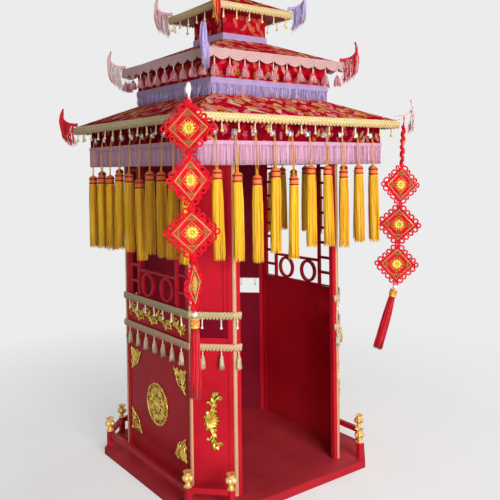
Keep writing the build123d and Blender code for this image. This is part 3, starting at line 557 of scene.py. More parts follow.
def tubes(paths, wide, deep=None, sides=3, facing=(1.0, 0.0, 0.0), dye=(1.0, 1.0, 1.0), closed=False):
    """Ring point = path point + wide cos(a) side + deep sin(a) up; up is facing, made square to the run."""
    paths = np.asarray(paths, float)
    paths = paths[None] if paths.ndim == 2 else paths
    count, n = paths.shape[:2]
    wide = np.broadcast_to(np.asarray(wide, float), (count, n))
    deep = wide if deep is None else np.broadcast_to(np.asarray(deep, float), (count, n))
    run = unit(np.roll(paths, -1, 1) - np.roll(paths, 1, 1) if closed else np.gradient(paths, axis=1))
    side = unit(np.cross(np.broadcast_to(np.asarray(facing, float), run.shape), run))
    up = np.cross(run, side)
    a = 2 * np.pi * np.arange(sides) / sides
    ring = (paths[:, :, None] + (wide[..., None] * np.cos(a))[..., None] * side[:, :, None]
            + (deep[..., None] * np.sin(a))[..., None] * up[:, :, None])
    step = np.linalg.norm(np.diff(paths, axis=1), axis=-1)
    length = np.concatenate([np.zeros((count, 1)), np.cumsum(step, 1)], 1)
    weave = np.stack(np.broadcast_arrays(length[:, :, None], a * 0.003), -1)
    dye = np.asarray(dye, float)
    dye = dye[:, None] if dye.ndim == 2 else dye
    dye = np.broadcast_to(dye[..., None, :] if dye.ndim == 3 else dye, (count, n, sides, 3))
    offset = (np.arange(count) * n * sides)[:, None, None]
    around = [grid_faces(n, sides, True, True)] if closed else rod_faces(n, sides)
    faces = [(f[None] + offset).reshape(-1, f.shape[1]) for f in around]
    return Shape(ring, faces, weave, dye.reshape(-1, 3))

# %% Turned work
def turned(profile, sides=20, flutes=0, depth=0.0, dye=None):
    """Radius and height of the profile, upward, spun round Z; radius times 1 + depth cos(flutes angle)."""
    profile = np.asarray(profile, float)
    a = 2 * np.pi * np.arange(sides) / sides
    depth = np.broadcast_to(np.asarray(depth, float), (len(profile),))
    radius = profile[:, :1] * (1 + depth[:, None] * np.cos(flutes * a))
    height = np.broadcast_to(profile[:, 1:2], radius.shape)
    points = np.stack([radius * np.cos(a), radius * np.sin(a), height], -1)
    weave = np.stack(np.broadcast_arrays(a * 0.02, profile[:, 1:2]), -1)
    colour = None if dye is None else np.repeat(np.asarray(dye, float), sides, 0)
    return Shape(points, rod_faces(len(profile), sides), weave, colour)


def smooth_line(points, count):
    """Catmull-Rom: between two points the line is a cubic that also looks at their neighbours."""
    p = np.asarray(points, float)
    p = np.concatenate([2 * p[:1] - p[1:2], p, 2 * p[-1:] - p[-2:-1]])
    t = np.linspace(0, len(p) - 3 - 1e-9, count)
    i, f = t.astype(int), (t % 1)[:, None]
    a, b, c, d = p[i], p[i + 1], p[i + 2], p[i + 3]
    return 0.5 * (2 * b + (c - a) * f + (2 * a - 5 * b + 4 * c - d) * f ** 2 + (3 * b - a - 3 * c + d) * f ** 3)

# %% A band along the plan of a wall
def band(corners, section, step, closed=True, shift=None):
    """Point = plan line + out times its outward mitre, at height up. section rows are (out, up, across);
    shift(along, across) adds to out and up. The plan runs clockwise, so outward is to its left."""
    corners, section = np.asarray(corners, float), np.asarray(section, float)
    line = np.concatenate([corners, corners[:1]]) if closed else corners
    run = unit(np.diff(line, axis=0))
    normal = np.stack([-run[:, 1], run[:, 0]], -1)
    before = np.concatenate([normal[-1:] if closed else normal[:1], normal])
    after = np.concatenate([normal, normal[:1] if closed else normal[-1:]])
    mitre = (before + after) / (1 + np.sum(before * after, -1, keepdims=True))
    shapes, walked = [], 0.0
    for i in range(len(run)):
        length = np.linalg.norm(line[i + 1] - line[i])
        f = np.linspace(0, 1, max(int(round(length / step)), 1) + 1)[:, None, None]
        along = walked + f[..., 0] * length
        out, up = np.broadcast_arrays(section[None, :, 0], section[None, :, 1] + along * 0)
        if shift is not None:
            more_out, more_up = shift(along, section[None, :, 2] + along * 0)
            out, up = out + more_out, up + more_up
        push = (1 - f) * mitre[i] + f * mitre[i + 1]
        plan = (1 - f) * line[i] + f * line[i + 1] + out[..., None] * push
        points = np.concatenate([plan, up[..., None]], -1)
        measured = walked + length / 2 + (plan - (line[i] + line[i + 1]) / 2) @ run[i]
        weave = np.stack(np.broadcast_arrays(measured, section[None, :, 2]), -1)
        n, s = points.shape[:2]
        faces = [grid_faces(n, s, False, True)]
        if not closed and i == 0:
            faces.append(np.arange(s)[None])
        if not closed and i == len(run) - 1:
            faces.append(((n - 1) * s + np.arange(s))[None])
        shapes.append(Shape(points, faces, weave))
        walked += length
    return join(shapes)


def square(half):
    """Corners of a square plan, clockwise."""
    return [(-half, -half), (-half, half), (half, half), (half, -half)]


def strip(height, thick, rows, bottom=0.0):
    """Section of a braid: rows down its face, then its back; across is the height on the face."""
    up = np.linspace(height, 0, rows)
    face = np.stack([np.full(rows, thick), bottom + up, up], -1)
    behind = 0.0003
    return np.concatenate([face, [(behind, bottom, 0.0), (behind, bottom + height, height)]])

# %% Places on walls
def wall_frame(side_turn):
    """Outward and along directions of the wall that faces side_turn degrees from +X."""
    t = np.radians(side_turn)
    return np.array([np.cos(t), np.sin(t), 0.0]), np.array([-np.sin(t), np.cos(t), 0.0])


def in_row(count, pitch):
    """Distances from the wall's middle, pitch apart."""
    return (np.arange(count) - (count - 1) / 2) * pitch


def row_on_wall(side_turn, distance, count, pitch, z):
    """Points at height z along a wall at this distance from the axis: outward times distance, plus along."""
    outward, along = wall_frame(side_turn)
    return outward * distance + along * in_row(count, pitch)[:, None] + [0, 0, z]


print("three in a row", row_on_wall(0, 1.0, 3, 0.5, 0.0)[:, 1])

# %% [markdown]
# ## Cloth covers of the canopies
# Each canopy is a timber frame with brocade pulled tight over its four slopes and sewn at the hips. The cover
# is one sheet that lies 3 mm over the CAD slope, so it is a band whose section climbs the slope and comes back
# underneath. Low waves let it give a little between the hips.

# %% Sizes of the canopies, in metres, as in the part's source
soffits = {"lower": 1.752, "mid": 2.062, "top": 2.343}
eaves = {"lower": 0.624, "mid": 0.423, "top": 0.231}
rises = {"lower": 0.108, "mid": 0.116, "top": 0.096}
necks = {"lower": 0.364, "mid": 0.137, "top": 0.030}
slab = 0.030  # thickness of the eave board
cloth_face, cloth_back, tuck = 0.0032, 0.0012, 0.001  # heights over the slope; how far the ends pass it
rng = np.random.default_rng(11)
print("canopies", list(soffits))

# %% Covers
def slack(slope, lean, half):
    """Ripple times two half waves, one up the slope and one along it, so hips and edges stay tight."""
    def shift(along, across):
        swell = np.sin(np.pi * across / slope) * np.abs(np.sin(np.pi * along / (2 * half)))
        ripple = 0.0016 + 0.0012 * np.sin(along * 31 + 5 * across) + 0.0008 * np.sin(along * 73 - 11 * across)
        return swell * ripple * lean[0], swell * ripple * lean[1]
    return shift


for tier in soffits:
    rise, half, neck = rises[tier], eaves[tier], necks[tier]
    slope = np.hypot(half - neck, rise)
    lean = np.array([rise, half - neck]) / slope
    t = np.linspace(0, 1, 13)[:, None]
    foot = np.array([-tuck, soffits[tier] + slab])
    head = np.array([neck - half + tuck, soffits[tier] + slab + rise])
    line = (1 - t) * foot + t * head
    out_and_up = np.concatenate([line + lean * cloth_face, line[::-1] + lean * cloth_back])
    across = np.concatenate([t, t[::-1]]) * slope
    section = np.concatenate([out_and_up, across], -1)
    cover = make_piece(tier + "_cover", band(square(half), section, 0.012, shift=slack(slope, lean, half)),
                       roof_brocade, (), tidy=True, crisp=30)
print("covers laid on", len(soffits), "canopies")

# %% [markdown]
# ## Brocade boxes and the valance
# The necks between the canopies and the valance under the lower eave are boards with the same cloth glued on.
# They are flat, but the cloth rolls softly over every edge, which a small bevel in the section gives.

# %% Necks and valance
def padded_wall(bottom, top):
    """Section of a covered board: a face with rounded upper and lower edges, and a flat back."""
    thick, roll, rows = 0.010, 0.004, 7
    a = np.linspace(np.pi / 2, 0, 4)
    upper = np.stack([thick - roll + roll * np.cos(a), top - roll + roll * np.sin(a)], -1)
    lower = np.stack([thick - roll + roll * np.cos(-a[::-1]), bottom + roll + roll * np.sin(-a[::-1])], -1)
    middle = np.stack([np.full(rows, thick), np.linspace(top - roll, bottom + roll, rows + 2)[1:-1]], -1)
    loop = np.concatenate([upper, middle, lower, [(0.0, bottom), (0.0, top)]])
    return np.concatenate([loop, loop[:, 1:]], -1)


for name, half, bottom, top, finish, stands_for in (
        ("mid_neck_cloth", 0.354, 1.890, 2.0618, box_brocade, "mid_neck_box"),
        ("top_neck_cloth", 0.127, 2.208, 2.3428, red_satin, "top_neck_box"),
        ("valance_cloth", 0.552, 1.580, 1.7518, valance_brocade, "valance_boards")):
    make_piece(name, band(square(half), padded_wall(bottom, top), 0.03), finish, [stands_for],
               tidy=True, crisp=40)

# %% [markdown]
# ## Braids
# A pale gold braid with a small scalloped edge hides the edge of the lower and upper eaves. The middle eave
# has a broad pink one in long scallops, with a tassel in each notch. On the cabin an olive and a tan braid run
# round the walls. Each is a band: its relief is a row of slanting ribs, its hem a chain of half circles.

# %% Eave braids
def plaited(height, rib, relief, lobe, hang, belly=0.0):
    """out = relief |sin| of slanting ribs + belly; up = minus hang times the lobes, notched up between them."""
    def shift(along, across):
        slant = np.abs(across - height / 2)
        ribs = relief * np.abs(np.sin(np.pi * (along + slant) / rib)) * (across < height * 0.999)
        round_lobe = np.abs(np.sin(np.pi * along / lobe)) ** 0.6
        hem = hang * (round_lobe - 0.35) * np.clip(1 - across / height, 0, 1) ** 1.5
        return ribs + belly * np.sin(np.pi * across / height) + 0.5 * belly * round_lobe, -hem
    return shift


gold_height = 0.0325
for tier, lobe, hang in (("lower", 0.0223, 0.014), ("top", 0.0200, 0.013)):
    section = strip(gold_height, 0.0045, 8, soffits[tier])
    shift = plaited(gold_height, 0.009, 0.0026, lobe, hang, 0.002)
    make_piece(tier + "_eave_gimp", band(square(eaves[tier]), section, 0.0034, shift=shift), gold_braid,
               [tier + "_eave_braid"], tidy=True, crisp=60)

pink_pitch, pink_height = 0.086, 0.037  # from tassel to tassel on the middle eave, and its braid's height


def long_scallops(along, across):
    """Lobes as long as the tassels are apart, a notch at each tassel, and a small frill on their edge."""
    place = (along - eaves["mid"]) / pink_pitch
    lobe = np.abs(np.sin(np.pi * place)) ** 0.8
    low = (1 - across / pink_height) ** 1.3
    frill = 0.0014 * np.sin(2 * np.pi * along / 0.007) * low
    ribs = 0.0012 * np.abs(np.sin(np.pi * (along + across) / 0.013))
    return ribs + 0.002 * low + 0.002 * lobe * low, -0.019 * lobe * low + 0.004 * low + frill


make_piece("mid_eave_scallops", band(square(eaves["mid"]), strip(pink_height, 0.004, 9, soffits["mid"]), 0.0028,
                                     shift=long_scallops),
           pink_braid, ["mid_eave_braid"], tidy=True, crisp=60)

# %% Cabin braids and corner gimp
door = cabin - cut - 0.032  # the doorway's edge of the front corner posts
side_end = cabin - cut
braid_heights = {"upper": 0.862, "lower": 0.716}  # where the cabin's braids have their lower edges


def cabin_line(out):
    """Plan of the cabin's walls moved out, clockwise from one door post round to the other."""
    h, s = cabin + out, side_end + out * (np.sqrt(2) - 1)
    return [(-door, -h), (-s, -h), (-h, -s), (-h, s), (-s, h), (s, h), (h, s), (h, -s), (s, -h), (door, -h)]


for place, height, hang, finish in (("upper", 0.027, 0.013, olive_braid), ("lower", 0.026, 0.011, tan_braid)):
    section = strip(height, 0.0045, 7, braid_heights[place])
    shift = plaited(height, 0.010, 0.0024, 0.0155, hang, 0.0018)
    make_piece(place + "_gimp", band(cabin_line(0.004), section, 0.003, False, shift), finish, [place + "_braid"],
               tidy=True, crisp=60)


def gimp_strip():
    """Upright strip round an edge of 135 degrees: the walls fall back by tan 22.5 degrees on each side, and the
    face is a row of small ribs that lean to its middle line, like a plait."""
    foot, top, half_width, rib = 0.0403, 1.6897, 0.0092, 0.0108
    z = np.linspace(foot, top, 306)[:, None]
    x = np.linspace(-half_width, half_width, 6)[None, :]
    wall = -np.tan(np.radians(22.5)) * np.abs(x)
    swell = 1 - (x / half_width) ** 4
    ribs = np.abs(np.sin(np.pi * (z + np.abs(x)) / rib))
    out = 0.8 * wall + 0.0012 + 0.0012 * swell + 0.0013 * swell * ribs
    wave = x * (1 + 0.05 * np.sin(2 * np.pi * z / rib))
    face = np.stack(np.broadcast_arrays(wave, out, z), -1)
    back = np.stack(np.broadcast_arrays(x[:, ::-1], wall[:, ::-1] + 0.0002, z), -1)
    points = np.concatenate([face, back], 1)
    weave = np.stack(np.broadcast_arrays(np.concatenate([x, x[:, ::-1]], 1), z), -1)
    return Shape(points, rod_faces(*points.shape[:2]), weave)


edge_plan = [(cabin, side_end), (side_end, cabin), (-side_end, cabin), (-cabin, side_end),
             (-cabin, -side_end), (-side_end, -cabin), (side_end, -cabin), (cabin, -side_end)]
turns = [np.stack([along, outward, (0, 0, 1)], 1) for outward, along in
         [wall_frame(22.5 + 45 * k) for k in range(8)]]
make_piece("corner_gimp", repeat(gimp_strip(), turns, [(x, y, 0.0) for x, y in edge_plan]), cream_gimp,
           ["corner_trims"], tidy=True, crisp=70)

# %% [markdown]
# ## Fringes
# A fringe is a woven heading with yarns that hang from it. The yarns are thin three-sided tubes, set closer
# than their width, in two layers, so nothing shows through. Neighbours lean together in tufts, which a few sine
# waves of different lengths give, and each yarn's cut end is a little different.

# %% Yarns along a square
def yarns(half, out, top, drop, spacing, thick, shades, uneven, tuft, curl=0.0):
    """x = place + tuft waves times the way down squared; z = top minus length times the way down."""
    side_count = int(2 * half / spacing)
    x = (np.arange(side_count) + 0.5) * spacing - half
    x = np.concatenate([x + rng.uniform(-0.3, 0.3, side_count) * spacing for _ in range(4)])
    turn = np.repeat([0, 1, 2, 3], side_count)
    count = len(x)
    s = np.linspace(0, 1, 4)[None, :]
    length = drop * (1 + uneven * rng.uniform(-1, 0.4, count))[:, None]
    wave = np.sin(x * 97 + turn) + 0.7 * np.sin(x * 211 + 2 * turn) + 0.5 * np.sin(x * 463)
    across = x[:, None] + tuft * wave[:, None] * s ** 2 + rng.normal(0, tuft * 0.35, (count, 1)) * s \
        + curl * np.sin(6 * s + rng.uniform(0, 6.3, (count, 1))) * s
    away = half + out + rng.uniform(0, thick * 1.2, (count, 1)) \
        + tuft * 0.7 * np.sin(x * 151)[:, None] * s ** 1.5 \
        + curl * np.cos(5 * s + rng.uniform(0, 6.3, (count, 1))) * s
    away = np.maximum(away, half + 0.0012)
    z = np.broadcast_to(top - length * s, across.shape)
    c, d = np.array([0, 1, 0, -1])[turn][:, None], np.array([-1, 0, 1, 0])[turn][:, None]
    paths = np.stack([c * away - d * across, d * away + c * across, z], -1)
    facing = np.stack([c, d, c * 0], -1).astype(float)
    dye = np.asarray(shades)[rng.integers(0, len(shades), count)] * rng.uniform(0.86, 1.06, (count, 1))
    return tubes(paths, thick * (1 - 0.25 * s), thick * 0.7 * (1 - 0.25 * s), 3, facing, dye)


valance_face = 0.562  # distance of the valance's face from the axis
pinks = [srgb(242, 188, 218), srgb(234, 172, 206), srgb(250, 208, 230), srgb(222, 156, 192)]
purples = [srgb(206, 186, 238), srgb(188, 168, 226), srgb(224, 208, 246), srgb(166, 144, 208)]
layers = [yarns(valance_face, 0.0010, 1.662, 0.101, 0.0034, 0.0021, pinks, 0.02, 0.0009),
          yarns(valance_face, 0.0030, 1.662, 0.101, 0.0042, 0.0021, pinks, 0.03, 0.0016)]
make_piece("pink_yarns", join(layers), silk_thread, ["pink_fringe"])
make_piece("pink_heading", band(square(valance_face), strip(0.017, 0.0052, 5, 1.652), 0.004,
                                shift=plaited(0.017, 0.006, 0.0008, 0.006, 0.001)),
           pink_tape, [], tidy=True, crisp=60)
layers = [yarns(necks["lower"], 0.0015, 1.950, 0.056, 0.0034, 0.0021, purples, 0.2, 0.0022, 0.001),
          yarns(necks["lower"], 0.0040, 1.952, 0.060, 0.0042, 0.0022, purples, 0.3, 0.004, 0.003)]
make_piece("purple_yarns", join(layers), silk_thread, ["purple_fringe"])
make_piece("purple_heading", band(square(necks["lower"]), strip(0.028, 0.006, 6, 1.946), 0.004,
                                  shift=plaited(0.028, 0.009, 0.001, 0.006, 0.001)),
           tape, [], tidy=True, crisp=60)
make_piece("purple_ribbon", band(square(necks["mid"]), strip(0.033, 0.0045, 8, 2.208), 0.004,
                                 shift=plaited(0.033, 0.011, 0.0012, 0.008, 0.0015)),
           tape, ["purple_band"], tidy=True, crisp=60)

# %% [markdown]
# ## Long tassels, their cords and crystals
# Under the valance hang forty long tassels of yellow silk, each from a cut crystal by a doubled cord. A tassel
# is a wound head over a wooden mould, bound twice in red, and a skirt of yarns. The head is turned work. The
# skirt is tubes on circles, cut ragged at the foot.

# %% Where each hangs: in millimetres under the highest place
hang_rows = {"front": (12, 26, 42, 10, 48, 0, 4, 20, 2, 8), "right": (6, 18, 0, 30, 12, 4, 22, 10, 34, 8),
             "back": (10, 0, 24, 14, 6, 28, 2, 16, 8, 20), "left": (44, 40, 40, 26, 30, 58, 20, 22, 20, 30)}
side_turns = {"front": -90, "right": 0, "back": 90, "left": 180}
row_count, row_pitch = 10, 0.108
yellow, amber, orange, wine = srgb(255, 198, 34), srgb(244, 164, 32), srgb(244, 130, 62), srgb(164, 24, 32)


def skirt(centres, top, length, top_radius, foot_radius, count, thick, shades, lean, uneven, rows):
    """Yarns on circles: radius goes over from the neck's to the foot's with the square root of the way down;
    the whole skirt leans a little, and every yarn sways by its own small wave."""
    centres = np.asarray(centres, float)
    k = len(centres)
    s = np.linspace(0, 1, rows)
    golden_angle = 2.39996  # set apart by it, the yarns never stand in rows
    a = np.arange(count) * golden_angle + rng.uniform(0, 6.28, (k, 1))
    level = np.where(np.arange(count) % 3 == 2, 0.62, 1.0)[None, :]
    spread = (foot_radius - top_radius) * s ** 0.5 * rng.uniform(0.8, 1.08, (k, count, 1))
    radius = level[..., None] * (top_radius + spread)
    drift = a[..., None] + rng.normal(0, 0.12, (k, count, 1)) * s
    tilt = rng.normal(0, lean, (k, 1, 1, 2)) * (s ** 1.2)[None, None, :, None] * length
    sway = 0.0016 * np.sin(5 * s + rng.uniform(0, 6.3, (k, count, 1)))
    xy = np.stack([(radius + sway) * np.cos(drift), (radius + sway) * np.sin(drift)], -1) + tilt
    fall = length * (1 - uneven * rng.random((k, count, 1)) ** 1.5) * s
    z = centres[:, None, None, 2] + top - fall
    paths = np.concatenate([xy + centres[:, None, None, :2], z[..., None]], -1).reshape(-1, rows, 3)
    facing = np.stack([np.cos(a), np.sin(a), a * 0], -1).reshape(-1, 1, 3)
    dye = np.asarray(shades)[rng.integers(0, len(shades), k * count)] * rng.uniform(0.70, 1.08, (k * count, 1))
    width = thick * np.concatenate([[0.8], np.full(rows - 2, 1.0), [0.55]])
    return tubes(paths, width, width * 0.7, 3, facing, dye)

# %% Tassels
head_profile = [(0.0035, -0.062, yellow), (0.0170, -0.058, yellow), (0.0186, -0.048, yellow),
                (0.0178, -0.0445, amber), (0.0204, -0.0435, wine), (0.0210, -0.0405, wine),
                (0.0204, -0.0375, wine), (0.0178, -0.0365, orange), (0.0190, -0.030, orange),
                (0.0190, -0.026, orange), (0.0178, -0.0205, orange), (0.0204, -0.0195, wine),
                (0.0208, -0.0160, wine), (0.0204, -0.0125, wine), (0.0182, -0.0115, orange),
                (0.0172, -0.007, orange), (0.0134, -0.003, orange),
                (0.0060, 0.001, amber), (0.0030, 0.006, amber)]
fuller = 1.1  # the heads are a tenth wider than their profile was drawn
head = turned([(fuller * row[0], row[1]) for row in head_profile], 24, 12, [0.0] + [0.03] * 17 + [0.0],
              [row[2] for row in head_profile])
a = np.linspace(0, 6.28, 13)[:-1]
knot_ring = tubes(np.stack([0.006 * np.cos(a), np.zeros(12), 0.011 + 0.007 * np.sin(a)], -1), 0.0018, sides=5,
                  facing=(0, 1, 0), dye=amber, closed=True)
cords = []
for side_name, side_turn in side_turns.items():
    outward, along = wall_frame(side_turn)
    drops = np.array(hang_rows[side_name])[:, None] / 1000
    centres = row_on_wall(side_turn, valance_face + 0.007, row_count, row_pitch, 1.557) - drops * [0, 0, 1]
    turn = np.broadcast_to(np.stack([along, -outward, (0, 0, 1)], 1), (row_count, 3, 3))
    heads = repeat(join([head, knot_ring]), turn, centres + outward * 0.014)
    silks = skirt(centres + outward * 0.014, -0.050, 0.342, 0.0198, 0.0240, 112, 0.0023,
                  [yellow, yellow, amber, srgb(254, 204, 62)], 0.014, 0.085, 5)
    make_piece("yellow_tassels_" + side_name, join([heads, silks]), silk_thread, ["long_tassels_" + side_name],
               crisp=50)
    s = np.linspace(0, 1, 15)[None, :, None]
    start = row_on_wall(side_turn, valance_face + 0.013, row_count, row_pitch, 1.693)
    end = centres + outward * 0.0125 + [0, 0, 0.012]
    sag = 0.0045 * np.sin(np.pi * s) * outward
    for hand in (-1, 1):
        bulge = rng.uniform(0.003, 0.007, (row_count, 1, 1)) * np.sin(np.pi * s ** 1.4)
        cords.append(start[:, None] * (1 - s) + end[:, None] * s + hand * (0.0026 + bulge) * along + sag)
cord_tubes = tubes(np.concatenate(cords), 0.0017, 0.0017, 5, (0.7, 0.7, 0.05), srgb(236, 176, 66))
make_piece("yellow_cords", cord_tubes, satin_cord, ["tassel_cords"])

# %% Crystals: a silver setting with a step-cut stone
def cut_stone():
    """Square rings that shrink as they rise: setting, girdle, crown steps and table."""
    half = 0.0145
    steps = np.array([(0.9, 0.0), (1.0, 0.001), (1.0, 0.004), (0.93, 0.005), (0.86, 0.0035), (0.84, 0.0035),
                      (0.84, 0.006), (0.66, 0.0092), (0.44, 0.0112), (0.40, 0.0112)])
    corner = np.array([(-1, -0.8), (-1, 0.8), (-0.8, 1), (0.8, 1), (1, 0.8), (1, -0.8), (0.8, -1), (-0.8, -1)])
    ring = corner[None, ::-1] * steps[:, :1, None] * half
    points = np.stack([np.broadcast_to(steps[:, 1:2], ring.shape[:2]), ring[..., 0], ring[..., 1]], -1)
    return Shape(points, rod_faces(*points.shape[:2]))


turns, places = [], []
for side_turn in side_turns.values():
    outward, along = wall_frame(side_turn)
    turns += [np.stack([outward, along, (0, 0, 1)], 1)] * row_count
    places.append(row_on_wall(side_turn, valance_face + 0.0001, row_count, row_pitch, 1.706))
make_piece("cut_crystals", repeat(cut_stone(), turns, places), crystal, ["valance_crystals"],
           soft=False, tidy=True)

# %% [markdown]
# ## Gilt carving
# The medallions, corner pieces, friezes and tall scrolls are cast in resin from carved originals. Acanthus
# carving is made of few strokes: a stem that curls up faster and faster, and a leaf with a ridge. A stroke is
# written as a heading that turns along its length. Its line is the running sum of that heading.

# %% Strokes
def stroke(start, heading, length, bend, curl, power=3, count=19):
    """Heading at the way s is heading + bend s + curl s to a power; the line adds up its cosine and sine."""
    s = np.linspace(0, 1, count)
    a = np.radians(heading + bend * s + curl * s ** power)
    middle = (a[1:] + a[:-1]) / 2
    x, y = [np.concatenate([[0], np.cumsum(wave(middle))]) for wave in (np.cos, np.sin)]
    return np.asarray(start, float) + np.stack([x, y], -1) * length / (count - 1)


def stems(strokes, width, height, lift=2.5, count=19):
    """Tubes in millimetres: thin at the root, full in the middle, with a bud at the curled end."""
    paths = np.stack([stroke(*row, count=count) for row in strokes])
    paths = np.concatenate([paths, np.full((*paths.shape[:2], 1), lift)], -1)
    s = np.linspace(0, 1, count)
    body = 0.55 * np.sin(np.pi * np.clip(s * 1.15, 0, 1)) ** 0.6 * (1 - 0.35 * s)
    profile = 0.45 + body + 0.75 * np.exp(-((s - 0.985) / 0.05) ** 2)
    return tubes(paths, width * profile, height * profile, 6, (0, 0, 1))


def leaves(strokes, width, height, lift=1.5):
    """Four-sided tubes: wide in the middle, pointed at the tip, with a ridge along the top."""
    paths = np.stack([stroke(*row, count=8) for row in strokes])
    s = np.linspace(0, 1, paths.shape[1])
    rise = lift + 3.0 * np.sin(np.pi * s) * np.ones((len(paths), 1))
    paths = np.concatenate([paths, rise[..., None]], -1)
    profile = np.sin(np.pi * (0.06 + 0.92 * s ** 0.75)) ** 0.8
    return tubes(paths, width * profile, height * (0.4 + 0.6 * profile), 4, (0, 0, 1))


def boss(x, y, radius, height, flutes=8):
    """A low fluted button, or a plain bead where flutes is nought."""
    a = np.linspace(0, np.pi / 2, 5)
    dome = np.stack([radius * np.cos(a) + 0.2, height * np.sin(a)], -1)
    made = turned(np.concatenate([[(radius, -1.0)], dome]), 16 if flutes else 8, flutes,
                  [0.0, 0.12, 0.12, 0.1, 0.05, 0.0])
    made.points += (x, y, 0)
    return made


def rim(radius, width, height, count=56):
    """A round moulding about the middle: a closed tube on a circle."""
    a = np.linspace(0, 2 * np.pi, count, endpoint=False)
    path = np.stack([radius * np.cos(a), radius * np.sin(a), np.full(count, height * 0.4)], -1)
    return tubes(path, width, height, 6, (0, 0, 1), closed=True)


def spun(shape, count, first=0.0):
    """The shape repeated round Z."""
    a = np.radians(first + 360.0 * np.arange(count) / count)
    o, l = np.zeros(count), np.ones(count)
    turn = np.stack([np.stack([np.cos(a), -np.sin(a), o], -1), np.stack([np.sin(a), np.cos(a), o], -1),
                     np.stack([o, o, l], -1)], 1)
    return repeat(shape, turn, np.zeros((count, 3)))


def flipped(shape, swap=False):
    """Mirror image, y to minus y or x and y swapped; the faces are turned round again so that they look out."""
    points = shape.points[:, [1, 0, 2]] if swap else shape.points * (1, -1, 1)
    return Shape(points, [f[:, ::-1] for f in shape.faces], shape.weave, shape.dye)

# %% Ornaments in millimetres, flat on their wall: rows of start, heading, length, bend, curl and power
medallion_half = join([
    stems([((98, 6), 195, 92, -60, -330), ((62, 8), 20, 60, 40, 300), ((104, 18), 110, 40, 60, 260)], 3.6, 4.5),
    leaves([((92, 10), 165, 34, 30, 40), ((60, 6), 60, 28, -30, -60), ((80, 22), 140, 26, 20, 0)], 6.0, 4.0)])
medallion = join([
    rim(113, 5.2, 5.0), rim(104, 2.0, 4.0), rim(54, 3.2, 4.2, 40),
    spun(join([medallion_half, flipped(medallion_half)]), 8),
    spun(leaves([((8, 0), 0, 46, 0, 0)], 10.0, 4.5), 12, 15.0), spun(boss(83, 0, 5.5, 7), 8),
    spun(boss(118, 0, 5.0, 5.5, 0), 24), boss(0, 0, 15, 10)])
medallion.points *= (0.89, 0.89, 1.0)

corner_half = join([
    stems([((8, 12), 8, 132, 10, 420), ((22, 26), 30, 82, -60, -330), ((70, 12), 60, 46, 40, 300),
           ((40, 10), 100, 50, -60, -260)], 3.3, 5.0),
    leaves([((30, 10), 35, 40, 20, 40), ((62, 8), 70, 30, -40, -60), ((88, 10), 120, 26, 40, 0),
            ((14, 20), 60, 46, -20, 0)], 4.4, 4.8)])
corner_piece = join([corner_half, flipped(corner_half, swap=True), boss(14, 14, 8, 8), boss(44, 44, 5, 6),
                     leaves([((18, 18), 45, 56, 0, 0)], 6.0, 5.5)])
corner_piece.points *= (1.42, 1.42, 1.0)

swirl_half = join([
    stems([((-30, 4), 66, 178, 8, -470, 7), ((-6, 70), 118, 52, 20, 380, 4), ((-18, 40), 20, 50, 30, -340, 4),
           ((4, 98), 30, 40, 30, -330, 4)], 7.0, 7.0),
    leaves([((-26, 20), 100, 34, 20, 40), ((-20, 34), 40, 46, 20, 40), ((-12, 56), 30, 44, 20, 40),
            ((-2, 82), 100, 36, 20, 0), ((2, 104), 96, 44, -20, -30), ((10, 120), 60, 30, -20, -20)],
           11.0, 6.0)])
shell = leaves([((-44 + 0.05 * abs(angle), 0), angle, 80 - 0.35 * abs(angle), 0, 0)
                for angle in (-58, -42, -28, -14, 0, 14, 28, 42, 58)], 13.5, 8.0)
swirl = join([swirl_half, flipped(swirl_half), shell, boss(-38, 0, 9, 9, 9),
              stems([((-34, 6), 150, 30, 0, -300, 3), ((-34, -6), 210, 30, 0, 300, 3)], 4.5, 5.0)])
swirl.points *= (0.92, 0.96, 1.15)

wave_count, wave_length = 8, 70.8
vine_x = np.linspace(-wave_count / 2, wave_count / 2, 129) * wave_length
vine = np.stack([vine_x, 20 * np.sin(np.pi * vine_x / wave_length), np.full(129, 2.2)], -1)
crest = join([
    stems([((-26, -6), 70, 86, -120, -420), ((4, 20), 150, 46, 60, 300), ((14, 10), -70, 40, -60, -320)],
          2.8, 4.6),
    leaves([((-22, 2), 120, 30, -60, -40), ((-18, 12), 60, 26, -60, -40), ((-4, 22), 100, 22, -30, 0),
            ((8, 22), 40, 28, -50, -30), ((18, 12), -10, 26, -50, 0), ((20, 0), -70, 28, 40, 40),
            ((-8, 4), -60, 26, 30, 30), ((2, 12), -40, 22, 20, 0), ((-26, -10), -120, 24, 60, 30),
            ((-30, -4), 170, 22, 40, 0)], 5.6, 5.0),
    boss(0, 8, 5.5, 7, 6)])
crests = [repeat(shape, np.eye(3), [(x, y, 0)]) for shape, x, y in zip(
    [crest, flipped(crest)] * (wave_count // 2), in_row(wave_count, wave_length), [2, -2] * (wave_count // 2))]
frieze = join([tubes(vine, 2.4, 3.4, 6, (0, 0, 1))] + crests)

# %% Ageing and painted shade: umber and painted shade in the recesses, full gold on the ridges
umber_and_shade = np.array([0.16, 0.10, 0.05])
for carving, low, high in ((medallion, 1.0, 5.6), (corner_piece, 1.0, 5.6), (swirl, 1.5, 8.5),
                           (frieze, 1.0, 6.0)):
    # painted shade and umber: the lower the relief, the darker its dye
    share = np.clip((carving.points[:, 2:] - low) / (high - low), 0, 1) ** 1.9
    carving.dye = umber_and_shade * (1 - share) + share
    print("carving", np.round(np.ptp(carving.points, axis=0), 1), "mm, heights",
          np.round(np.percentile(carving.points[:, 2], [5, 50, 95]), 1))

